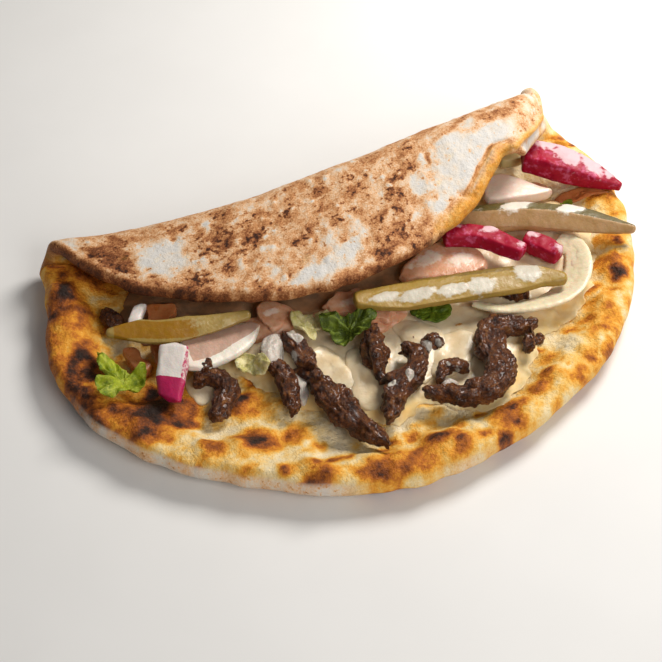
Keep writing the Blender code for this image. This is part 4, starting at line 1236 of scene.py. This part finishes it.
def beef_finish():
    finish = Finish("seared beef", Specular_IOR_Level=0.5, Coat_Weight=0.30, Coat_Roughness=0.12)
    tree = finish.tree
    fibres = maths(tree, "MULTIPLY", finish.field("fibre"), 0.35)
    tone = maths(tree, "ADD", finish.noise(3.2, 0.5), fibres)
    tone = maths(tree, "ADD", tone, finish.noise(0.9, 0.5))
    colour = ramp(tree, span(tree, tone, -1.0, 1.0, 0.0, 1.0), SEARED)
    finish.colour(blend(tree, finish.mask("sauce", 1.8, 0.30, 0.16), colour, SAUCE_WHITE))
    finish.uneven_gloss(1.6, 0.24, 0.55)
    finish.bump(1.0, 0.38, 0.9, 0.75)
    return finish.made


beef_look = beef_finish()
beef_pieces = []
for number, route in enumerate(BEEF_ROUTES, 1):
    strip = make_beef(number, route)
    finish_piece(strip, beef_look, "beef", f"beef_{number}")
    beef_pieces.append(strip)
beef_points = sum(len(strip.data.vertices) for strip in beef_pieces)
print("beef:", beef_points, "points in", len(beef_pieces), "strips")

# %% [markdown]
# ## Pickles, turnip, onion and tomato
#
# All of these are crisp cut vegetables with a skin or a coloured border, and all are streaked
# with sauce. One function makes any of them: a fine copy, a little unevenness, and painted
# fields for the sauce and for the second colour. What differs is where those fields lie.

# %% Crisp pieces
SPEAR_BINS = 20
SPEAR_SWELL = 0.45
PRESS_SHARE = 0.88


def press_flat(points, route, drop, back_slope, front_slope):
    """Presses a spear's top down to cut faces; the slopes are its fall behind and in front."""
    _, left, share = route_places(points, route)
    bins = np.clip((share * SPEAR_BINS).astype(int), 0, SPEAR_BINS - 1)
    ridge = np.array([points[bins == k, 2].max() for k in range(SPEAR_BINS)])
    bin_middles = (np.arange(SPEAR_BINS) + 0.5) / SPEAR_BINS
    taper = np.clip(4.0 * np.minimum(share, 1 - share) + 0.2, 0.2, 1.0)
    face = np.interp(share, bin_middles, running_mean(ridge, 2)) - drop * taper
    face = face - np.where(left > 0, back_slope * left, -front_slope * left)
    points[:, 2] -= PRESS_SHARE * np.maximum(points[:, 2] - face, 0.0)


def make_crisp(node, name, voxel, smoothing, roughness, seed,
               sauce=(), second=None, cut=None, ragged=0.0):
    """A cut vegetable; `second` gives the second colour's field from the points and normals."""
    made = fine_copy(node, name, voxel, smoothing)
    points = points_of(made)
    out = normals_of(made)
    if cut is not None:
        cut(points, out)
    points[:, :2] += out[:, :2] * (ragged * grain(points * (1, 1, 0), 5.0, seed + 2))[:, None]
    rise = roughness * grains(points, (1.0, 6.0, seed), (0.5, 2.2, seed + 1))
    veil = spots_at(points[:, 0], points[:, 1], sauce) * smooth_step(2.0 * out[:, 2] + 0.9)
    rise = rise + 0.35 * smooth_step(2.0 * veil - 0.5)
    paint(made, "sauce", veil)
    paint(made, "second", np.zeros(len(points)) if second is None else second(points, out))
    move_points(made, points + out * rise[:, None])
    return made


def crisp_finish(name, first, first_too, second, sauce, rough, see_through=0.0, shine=0.5):
    """First colour in two tones, a second colour by its field, and sauce over both."""
    finish = Finish(name, Subsurface_Weight=see_through, Subsurface_Scale=0.002,
                    Specular_IOR_Level=shine)
    tree = finish.tree
    tone = finish.tone((5.0, 0.7), (1.3, 0.4))
    colour = blend(tree, tone, first, first_too)
    other = blend(tree, tone, second, tuple(0.72 * part for part in second))
    colour = blend(tree, finish.mask("second", 1.4, 0.22, 0.12), colour, other)
    finish.colour(blend(tree, finish.mask("sauce", 2.8, 0.32, 0.14), colour, sauce))
    finish.uneven_gloss(2.5, rough, rough + 0.22)
    finish.bump(2.2, 0.7, 0.4, 0.07)
    return finish.made


# %% Pickled cucumber
PICKLE_ROUTES = (
    ((-108, 21), (-97, 18), (-87, 14), (-75, 11), (-62, 8), (-51, 7)),
    ((-7, 5), (10, 1), (28, -2), (54, -6), (73, -9), (81, -13)),
    ((48, 42), (60, 36), (83, 27), (102, 16), (120, 1)),
)
PICKLE_SAUCE = (
    ((-72, 12, 11, 6, 0.5), (-60, 9, 9, 5, 0.55)),
    ((5, -1, 9, 3, 1.0), (18, -4, 10, 3.5, 1.2), (33, -6, 9, 3.5, 1.2), (45, -7, 8, 5, 1.1),
     (67, -6, 7, 6, 1.3)),
    ((79, 32, 9, 4, 1.1), (101, 22, 9, 4, 1.1), (62, 37, 6, 3, 0.5)),
)
# How far a spear's ridge is pressed down, and the slopes behind and in front of it.
SPEAR_FACES = ((1.5, -0.10, 0.22), (2.2, 0.05, 0.20), (1.8, 0.10, 0.75))


def spear_cut(number):
    """Gives a spear its cut faces; two of them are also bent sideways."""
    def cut(points, out):
        points += SPEAR_SWELL * out
        press_flat(points, PICKLE_ROUTES[number], *SPEAR_FACES[number])
        _, left, share = route_places(points, PICKLE_ROUTES[number])
        if number == 0:
            points[:, 1] += rising(share, 0.35, 0.65) * (4.2 - 0.35 * left)
        if number == 1:
            points[:, 1] += (1 - rising(share, 0, 0.75)) * (0.22 * left - 2.6)
    return cut


def pickle_skin(number):
    """Where a spear has its second colour: the skin at one side, or a paler flesh at the edges."""
    def field(points, out):
        _, left, share = route_places(points, PICKLE_ROUTES[number])
        if number == 0:
            rim = np.maximum(rising(np.abs(left), 3.6, 1.2), rising(share, 0.07, -0.05))
            return np.maximum(smooth_step(share * 2.6 - 1.1), rim)
        if number == 1:
            return 0.75 * rising(left, 2.0, 3.0) + 0.4 * rising(share, 0.93, 0.05)
        return rising(left, -0.8, 2.4) * rising(out[:, 2], -0.5, 1.0)
    return field


pickle_looks = (
    crisp_finish("pickle flesh, ochre", (0.31, 0.145, 0.002), (0.25, 0.110, 0.002),
                 (0.38, 0.25, 0.06), (0.44, 0.33, 0.15), 0.28, 0.08),
    crisp_finish("pickle flesh, olive", (0.40, 0.255, 0.048), (0.31, 0.175, 0.018),
                 (0.24, 0.14, 0.010), (0.57, 0.51, 0.40), 0.30, 0.10),
    crisp_finish("pickle flesh, pale", (0.48, 0.29, 0.15), (0.37, 0.21, 0.06),
                 (0.165, 0.125, 0.035), (0.76, 0.70, 0.60), 0.28, 0.12),
)
for k, look in enumerate(pickle_looks):
    made = make_crisp(f"pickle_{k + 1}", f"pickle_spear_{k + 1}", 0.6, 7, 0.12, 100 + k,
                      PICKLE_SAUCE[k], pickle_skin(k), spear_cut(k))
    finish_piece(made, look, "pickle", f"pickle_{k + 1}")
print("pickles:", len(pickle_looks))

# %% Pickled turnip
STICK_ROUTE = ((-84, 3), (-88, -5), (-94, -17))
RED_STICKS = {
    3: ((48, 26, 5, 3, 0.62), (62, 20, 8, 3, 0.85), (70, 8, 4, 4, 0.6)),
    4: ((79, 15, 4, 3, 0.75), (86, 4, 3, 3, 0.7)),
    5: ((107, 62, 8, 7, 1.0), (112, 52, 7, 10, 1.0), (121, 46, 6, 11, 1.0), (126, 38, 4, 5, 0.8)),
}


def red_band(points, out):
    """The white stick's red end."""
    _, left, share = route_places(points, STICK_ROUTE)
    line = 0.52 * rising(left, 3.4, 0.6) * rising(out[:, 2], -1.0, 1.0)
    return np.maximum(rising(share, 0.64, 0.05), line)


def frosted(points, out):
    """Brine has bleached the red unevenly, most along the cut edges."""
    edges = 0.16 * smooth_step(1.4 - 2.4 * np.abs(out).max(axis=1))
    return 0.38 + edges + grains(points, (0.16, 4.0, 190), (0.10, 1.6, 191))


def slant_stick(points, out):
    """Slants both ends of the white stick and makes it a little thinner from below."""
    _, left, share = route_places(points, STICK_ROUTE)
    points[:, :2] -= (left * 0.22 * (1 - share))[:, None] * np.array([-0.87, 0.5])
    points[:, :2] += (rising(share, 0.6, 0.4) * left * 0.42)[:, None] * np.array([-0.45, -0.9])
    top = points[:, 2].max()
    points[:, 2] = top + (points[:, 2] - top) * 0.85


def shorten_stick(points, out):
    """The small stick is mostly under the spear; only its near end shows."""
    far = np.maximum(points[:, 1] - 22, 0.0)
    points[:, 1] -= 0.45 * far
    points[:, 0] += 0.14 * far


white_turnip = crisp_finish("turnip, white", (0.80, 0.74, 0.68), (0.74, 0.66, 0.60),
                            (0.52, 0.012, 0.10), (0.84, 0.80, 0.74), 0.30, 0.2)
red_turnip = crisp_finish("turnip, red", (0.40, 0.001, 0.030), (0.29, 0.001, 0.016),
                          (0.60, 0.09, 0.20), (0.72, 0.47, 0.50), 0.38, shine=0.22)
for number, field, move in ((1, red_band, slant_stick), (2, None, shorten_stick)):
    made = make_crisp(f"turnip_{number}", f"turnip_white_{number}", 0.5, 3, 0.12, 120 + number,
                      second=field)
    reshape(made, move)
    finish_piece(made, white_turnip, "white_turnip", f"turnip_{number}")
for number, sauce in RED_STICKS.items():
    made = make_crisp(f"turnip_{number}", f"turnip_red_{number}", 0.55, 4, 0.22, 120 + number,
                      sauce, frosted)
    finish_piece(made, red_turnip, "red_turnip", f"turnip_{number}")

# %% Onion
SLICE_EDGE = ((-78, 12), (-62, 13), (-49, 12), (-53, 4), (-62, -2), (-73, -5), (-82, -4), (-83, 5))
RING_MIDDLE = np.array([68.0, 2.0])
WHITE_SAUCE = (0.86, 0.83, 0.76)
CREAM_SAUCE = (0.86, 0.80, 0.70)


def onion_rim(points, out):
    """The slice at the left is pinkish inside its white rim."""
    inside, _ = edge_distance(points, SLICE_EDGE)
    near_front = rising(points[:, 1], 9.0, -6.0)
    return rising(inside - 3.2 * near_front, 0, 2.0)


def ring_wall(points, out):
    """The ring's inner wall lets the brown below shine through."""
    return 0.9 * rising(out[:, 1], -0.2, 0.5) * smooth_step(1.1 - out[:, 2])


def stretch_slice(points, out):
    points[:, 1] -= 2.2 * rising(points[:, 1], 8, -10)
    points[:, 0] += 3.0 * rising(points[:, 0], -66, 12)


def point_wedge(points, out):
    """Draws the wedge out to the left and to a point at the right."""
    tip = rising(points[:, 0], 84, 16)
    points[:, 0] -= 4.0 * (1 - tip)
    points[:, 1] += 3.0 * (1 - tip) - tip * 0.55 * (points[:, 1] - 41)
    points[:, 2] += (1 - tip) * 1.6


def lean_ring(points, out):
    """Towards the right the ring leans outwards, so its inner wall shows as a broad band."""
    inwards = unit(RING_MIDDLE - points[:, :2])
    facing = np.clip((out[:, :2] * inwards).sum(axis=1), 0, 1)
    wider = facing * (1.2 + 3.4 * rising(points[:, 0], 55, 25))
    points[:, :2] += inwards * wider[:, None]
    points[:, 2] -= 0.35 * wider


onion_look = crisp_finish("onion, sauced", (0.84, 0.78, 0.68), (0.78, 0.70, 0.58),
                          (0.60, 0.38, 0.28), WHITE_SAUCE, 0.22, 0.3)
onion_ring_look = crisp_finish("onion ring", (0.82, 0.73, 0.52), (0.76, 0.64, 0.40),
                               (0.62, 0.47, 0.25), CREAM_SAUCE, 0.24, 0.3)
onion_wedge_look = crisp_finish("onion, pinkish", (0.78, 0.56, 0.45), (0.82, 0.70, 0.60),
                                (0.58, 0.42, 0.32), WHITE_SAUCE, 0.24, 0.3)
onion_chunk_look = crisp_finish("onion, yellowed", (0.66, 0.55, 0.27), (0.54, 0.42, 0.17),
                                (0.58, 0.42, 0.32), CREAM_SAUCE, 0.26, 0.2)
ONION_SLICES = (
    (1, onion_rim, stretch_slice, onion_look),
    (2, None, point_wedge, onion_wedge_look),
    (3, None, None, onion_chunk_look),
)
for number, field, move, look in ONION_SLICES:
    made = make_crisp(f"onion_{number}", f"onion_slice_{number}", 0.5, 3, 0.12, 140 + number,
                      second=field)
    if move is not None:
        reshape(made, move)
    finish_piece(made, look, "onion", f"onion_{number}")
made = make_crisp("onion_ring", "onion_band", 0.5, 5, 0.18, 150, second=ring_wall)
reshape(made, lean_ring)
finish_piece(made, onion_ring_look, "onion", "onion_ring")

# %% Tomato
TOMATO_RIND = (0.50, 0.10, 0.03)
PINK_SAUCE = (0.80, 0.64, 0.52)
TOMATO_SAUCE = ((-40, 14, 6, 4, 0.6), (-6, 8, 8, 4, 0.7), (5, 4, 6, 5, 0.6), (30, 18, 12, 5, 0.7),
                (45, 14, 9, 6, 0.8), (34, 20, 8, 5, 0.7))
tomato_look = crisp_finish("tomato, sauced", (0.62, 0.24, 0.10), (0.76, 0.46, 0.30),
                           TOMATO_RIND, PINK_SAUCE, 0.22, 0.3)
# Painted shade: the bare look is the tomato without sauce and also a darker copy, standing in for shade
# on the slices at the left.
bare_tomato = crisp_finish("tomato, bare and shaded", (0.46, 0.115, 0.022), (0.60, 0.24, 0.09),
                           TOMATO_RIND, PINK_SAUCE, 0.22, 0.2)
for number in range(1, 7):
    # The sixth slice is even; the others are torn at the border.
    roughness, ragged = (0.07, 0.8) if number == 6 else (0.18, 2.2)
    made = make_crisp(f"tomato_{number}", f"tomato_slice_{number}", 0.55, 4, roughness,
                      160 + number, TOMATO_SAUCE, ragged=ragged)
    finish_piece(made, bare_tomato if number < 4 else tomato_look, "tomato", f"tomato_{number}")

# %% [markdown]
# ## Puddles of sauce and lobes of cheese
#
# Garlic sauce was poured on last, and the cheese settled in overlapping lobes. Both are puddles:
# an outline in plan, laid over whatever is below it, with a surface that is smoother than the
# ground and a rounded edge. Rays cast straight down find the ground.

# %% Puddles
PUDDLE_COUNT = 84
PUDDLE_RINGS = 16
BELOW_FLAP = 17.0
# The materials that a puddle can have read these fields; on a puddle all of them are zero.
UNUSED_FIELDS = ("sauce", "second", "toasted", "thin", "stained", "vein")


def settled(ground, passes):
    """The ground's heights with the hollows evened out, a little more in each pass."""
    level = ground
    for _ in range(passes):
        inner = np.vstack([level[1:], level[-1:]])
        outer = np.vstack([level[:1], level[:-1]])
        around = (inner + outer + np.roll(level, 2, axis=1) + np.roll(level, -2, axis=1)) / 4
        level = np.maximum(around, ground - 0.3)
    return level


def puddle_faces(count, rings):
    """Top and bottom of a puddle; its bottom shares the top's outermost ring."""
    faces = []
    above = 0
    for ring in range(rings - 1):
        here = (rings + ring) * count
        tops = ring_faces(ring * count, (ring + 1) * count, count)
        for pair in zip(tops, ring_faces(here, above, count)):
            faces += pair
        above = here
    top_middle = range((rings - 1) * count, rings * count)
    bottom_middle = range(above, above + count)
    return [*faces, tuple(top_middle), tuple(reversed(bottom_middle))]


def make_puddle(name, outline, thick, tree, seed, look, slot, passes=6):
    edge = curve_through(outline, PUDDLE_COUNT, closed=True)
    centre = edge.mean(axis=0)
    shares = np.sin(np.linspace(math.pi / 2, 0.06, PUDDLE_RINGS))
    spots = centre + shares[:, None, None] * (edge - centre)
    flat = np.dstack([spots, np.zeros(spots.shape[:2])]).reshape(-1, 3)
    flat[:, :2] += 0.5 * np.column_stack([grain(flat, 4.0, seed), grain(flat, 4.0, seed + 1)])
    ground = height_below(tree, flat[:, 0], flat[:, 1])
    # Past the cheese the open half of the bread is the ground; the ray starts below the flap.
    ground = np.maximum(ground, height_below(BREAD_TREE, flat[:, 0], flat[:, 1], BELOW_FLAP))
    ground = ground.reshape(spots.shape[:2])
    rounded = np.sqrt(np.clip(1 - shares ** 6, 0.0, 1.0))[:, None]
    swell = (1 + 0.35 * grain(flat, 6.0, seed + 2)).reshape(ground.shape)
    over = settled(ground, passes) - 0.1 + thick * rounded * swell
    under = np.maximum(ground - 0.5, 0.3)
    tops = np.column_stack([flat[:, :2], over.ravel()])
    bottoms = np.column_stack([flat[PUDDLE_COUNT:, :2], under[1:].ravel()])
    faces = puddle_faces(PUDDLE_COUNT, PUDDLE_RINGS)
    made = new_object(name, np.vstack([tops, bottoms]), faces)
    for field in UNUSED_FIELDS:
        paint(made, field, np.zeros(len(made.data.vertices)))
    finish_piece(made, look, slot)
    return made


def pour(name, outlines, thick, tree, seed, look, slot, passes=6):
    """One puddle for each outline, numbered from 1."""
    for number, outline in enumerate(outlines, 1):
        make_puddle(f"{name}_{number}", outline, thick, tree, seed + 5 * number, look, slot, passes)


# %% Sauce material
def sauce_finish():
    finish = Finish("garlic sauce", Subsurface_Weight=0.15, Subsurface_Scale=0.002)
    tone = finish.tone((3.0, 0.8), (0.9, 0.3))
    finish.colour(finish.flecked(blend(finish.tree, tone, (0.46, 0.38, 0.31), (0.72, 0.66, 0.58))))
    finish.uneven_gloss(2.0, 0.2, 0.4)
    finish.bump(1.8, 0.6, 0.4, 0.20)
    return finish.made


# %% Pour them
CHEESE_LOBES = (
    ((-27, -6), (-21, -11), (-19, -23), (-19, -30), (-24, -31), (-29, -27), (-32, -22), (-33, -14)),
    ((-17, -13), (-6, -14), (-5, -26), (-9, -40), (-14, -45), (-19, -44), (-22, -38), (-21, -29)),
    ((7, -4), (18, -7), (24, -14), (25, -24), (17, -33), (7, -40), (4, -33), (11, -25), (7, -15)),
    ((22, -18), (35, -19), (34, -30), (24, -39), (13, -40), (12, -32)),
    ((-83, -3), (-74, -2), (-69, -7), (-72, -14), (-79, -18), (-83, -14)),
)
SAUCE_POOLS = (
    ((-40, -15), (-36, -14), (-37, -23), (-40, -31), (-43, -33), (-44, -28), (-42, -21)),
    ((12, -44), (17, -42), (20, -45), (16, -48), (12, -47)),
)
SAUCE_COATS = (
    ((-49, 1), (-44, 2), (-41, -2), (-43, -9), (-48, -13), (-51, -12), (-51, -6)),
    ((-37, 4), (-34, 1), (-33, -6), (-36, -7), (-38, -1)),
    ((-1, -39), (1, -38), (2, -41), (-1, -43)),
    ((-9, -40), (-6, -40), (-7, -43), (-10, -43)),
)
TOMATO_SHREDS = (
    ((-72, 15), (-58, 18), (-47, 17), (-33, 13), (-29, 8), (-38, 4), (-52, 4), (-66, 8)),
    ((-30, 9), (-19, 10), (-8, 9), (1, 3), (-5, -3), (-14, -4), (-18, 2)),
    ((-8, 5), (6, 4), (15, -1), (9, -5), (0, -7), (-6, -3)),
    ((96, 55), (100, 57), (104, 52), (102, 48), (98, 50)),
    ((103, 43), (108, 45), (114, 43), (121, 37), (124, 32), (118, 34), (110, 38), (104, 40)),
)
sauce_look = sauce_finish()
ground = search_tree([cheese])
pour("cheese_lobe", CHEESE_LOBES, 1.3, ground, 300, cheese_look, "cheese")
for number, outline in enumerate(TOMATO_SHREDS, 1):
    look, thick = (tomato_look, 2.4) if number < 5 else (bare_tomato, 1.4)
    last_shred = make_puddle(f"tomato_shred_{number}", outline, thick, ground, 340 + 5 * number,
                             look, "tomato")
ground = search_tree([cheese, bread])
pour("sauce_pool", SAUCE_POOLS, 1.8, ground, 380, sauce_look, "cheese", passes=3)
ground = search_tree([bread, cheese, *beef_pieces])
pour("sauce_coat", SAUCE_COATS, 0.6, ground, 400, sauce_look, "cheese", passes=1)
print("puddles:", len(CHEESE_LOBES) + len(TOMATO_SHREDS) + len(SAUCE_POOLS) + len(SAUCE_COATS))


# %% [markdown]
# ## Thin shreds of beef
#
# Between the big strips lie shreds only a few millimetres thick. Each is a tube round a short
# route whose middle keeps half its width above the ground, roughened like the strips.

# %% Shreds
SHRED_AROUND = 16


def make_shred(name, route, widths, tree, seed):
    path = curve_through(route, 12 * len(route))
    share = np.linspace(0, 1, len(path))
    radius = 0.5 * np.interp(share, np.linspace(0, 1, len(widths)), widths)
    radius = radius * np.sqrt(np.clip(1 - (2 * share - 1) ** 8, 0.02, 1))
    middle = running_mean(height_below(tree, path[:, 0], path[:, 1]) + 0.6 * radius, 3)
    ahead = unit(np.gradient(path, axis=0))
    side = np.column_stack([-ahead[:, 1], ahead[:, 0]])
    angle = np.linspace(0, math.tau, SHRED_AROUND, endpoint=False)
    upwards = np.broadcast_to(np.sin(angle), (len(path), SHRED_AROUND))
    spokes = np.dstack([side[:, None, 0] * np.cos(angle), side[:, None, 1] * np.cos(angle), upwards])
    centres = np.column_stack([path, middle])
    points = (centres[:, None] + radius[:, None, None] * spokes).reshape(-1, 3)
    rise = grains(points, (0.45, 3.0, seed), (0.3, 1.4, seed + 1))
    points = points + spokes.reshape(-1, 3) * rise[:, None]
    last = (len(path) - 1) * SHRED_AROUND
    faces = []
    for here in range(0, last, SHRED_AROUND):
        faces += ring_faces(here, here + SHRED_AROUND, SHRED_AROUND)
    faces += [tuple(reversed(range(SHRED_AROUND))), tuple(range(last, last + SHRED_AROUND))]
    made = new_object(name, points, faces)
    paint(made, "sauce", np.zeros(len(points)))
    paint(made, "fibre", grain(points * (1, 1, 0), 1.5, seed + 2))
    finish_piece(made, beef_look, "beef")


BEEF_SHREDS = (
    (((-6, -14), (-8, -22), (-9, -29), (-8, -35), (-7, -41)), (3, 5, 5, 5, 4)),
    (((-80, -9), (-77, -6), (-72, -5), (-66, -7)), (3, 4, 5, 4)),
    (((-41, -15), (-38, -18), (-35, -22), (-33, -26)), (3, 4, 5, 4)),
    (((-37, -22), (-35, -26), (-34, -30)), (3, 4, 4)),
    (((14, -18), (17, -21), (18, -26)), (2, 3, 3)),
    (((11, -24), (13, -28)), (2, 3)),
    (((10, -16), (12, -16)), (1.5, 2)),
    (((57, -31), (61, -33), (63, -30)), (3, 4, 3)),
    (((60, -10), (64, -8), (67, -10)), (4, 5, 4)),
)
for number, (route, widths) in enumerate(BEEF_SHREDS, 1):
    make_shred(f"beef_shred_{number}", route, widths, ground, 440 + 4 * number)
print("shreds:", len(BEEF_SHREDS))

# %% [markdown]
# ## Lettuce
#
# A leaf is thinner than anything else here, so its copy is only ruffled: every point is moved
# straight up or down by noise that depends on its place in plan, which moves both faces alike and
# keeps the leaf's thickness. Veins are a fine web of ridges, pale on a dark leaf.

# %% Leaves
def make_leaf(node, name, ruffle, seed, centre):
    made = fine_copy(node, name, 0.42, 3)
    points = points_of(made)
    flat = points * (1, 1, 0)
    offset = points[:, :2] - centre
    away = np.linalg.norm(offset, axis=1)
    turn = np.arctan2(offset[:, 1], offset[:, 0])
    frill = np.column_stack([turn * 6.0, away * 0.25, np.zeros(len(turn))])
    lift = ruffle * (0.35 + 0.65 * rising(away, 0, 10.0))
    points[:, 2] += lift * (0.8 + grain(frill, 2.4, seed) + 0.4 * grain(flat, 3.0, seed + 1))
    points[:, :2] += 0.42 * grain(flat, 3.0, seed + 2)[:, None]
    veins = hump(grain(frill * (1.0, 0.35, 1.0), 1.3, seed + 3), 0, 0.10)
    veins = veins + 0.6 * hump(grain(flat, 3.2, seed + 4), 0, 0.08)
    paint(made, "vein", np.clip(veins, 0, 1))
    move_points(made, points)
    return made


def leaf_finish(name, deep, light, vein, rough):
    finish = Finish(name, Specular_IOR_Level=0.3, Subsurface_Weight=0.05, Subsurface_Scale=0.001)
    tree = finish.tree
    colour = blend(tree, finish.tone((4.0, 0.8), (1.2, 0.3), reach=0.7), deep, light)
    lines = maths(tree, "MULTIPLY", finish.field("vein"), 0.65)
    finish.colour(blend(tree, lines, colour, vein))
    finish.uneven_gloss(2.0, rough, rough + 0.2)
    finish.bump(1.8, 0.6, 0.4, 0.25)
    return finish.made


dark_leaf = leaf_finish("leaf, dark", (0.026, 0.044, 0.001), (0.095, 0.130, 0.004),
                        (0.22, 0.29, 0.02), 0.42)
green_leaf = leaf_finish("leaf, bright", (0.090, 0.150, 0.001), (0.38, 0.43, 0.012),
                         (0.54, 0.56, 0.08), 0.40)
flat_leaf = leaf_finish("leaf, flat", (0.040, 0.080, 0.002), (0.125, 0.185, 0.006),
                        (0.24, 0.33, 0.03), 0.42)
pale_leaf = leaf_finish("leaf, pale", (0.50, 0.44, 0.10), (0.76, 0.66, 0.34),
                        (0.80, 0.74, 0.48), 0.30)
# The node, the height of the ruffles, the seed, the leaf's middle, its material and its slot.
LEAVES = (
    ("lettuce_green_1", 2.6, 200, (-108, -2), green_leaf, "green_leaf"),
    ("lettuce_dark_1", 2.4, 210, (-13, -8), dark_leaf, "dark_leaf"),
    ("lettuce_dark_2", 0.9, 220, (24, -6), flat_leaf, "dark_leaf"),
    ("lettuce_pale_1", 1.2, 230, (-56, -9), pale_leaf, "pale_leaf"),
    ("lettuce_pale_2", 0.8, 240, (-24, 5), pale_leaf, "pale_leaf"),
    ("lettuce_pale_3", 0.6, 250, (-30, 2), pale_leaf, "pale_leaf"),
)
for node, ruffle, seed, centre, look, slot in LEAVES:
    made = make_leaf(node, node.replace("lettuce", "leaf"), ruffle, seed, centre)
    finish_piece(made, look, slot, node)

# Two torn bits lie behind the right spear, one of them on the tomato.
LEAF_BITS = (
    ((103, 37), (106, 40), (109, 40), (110, 38), (107, 36)),
    ((95, 25), (98, 25), (99, 23), (96, 22)),
)
ground = search_tree([bread, cheese, last_shred])
pour("leaf_bit", LEAF_BITS, 0.8, ground, 500, green_leaf, "green_leaf", passes=2)
print("leaves:", len(LEAVES), "and", len(LEAF_BITS), "torn bits")

# %% [markdown]
# ## The last line
#
# The scene is brought up to date once more.

# %% Finish
bpy.context.view_layer.update()
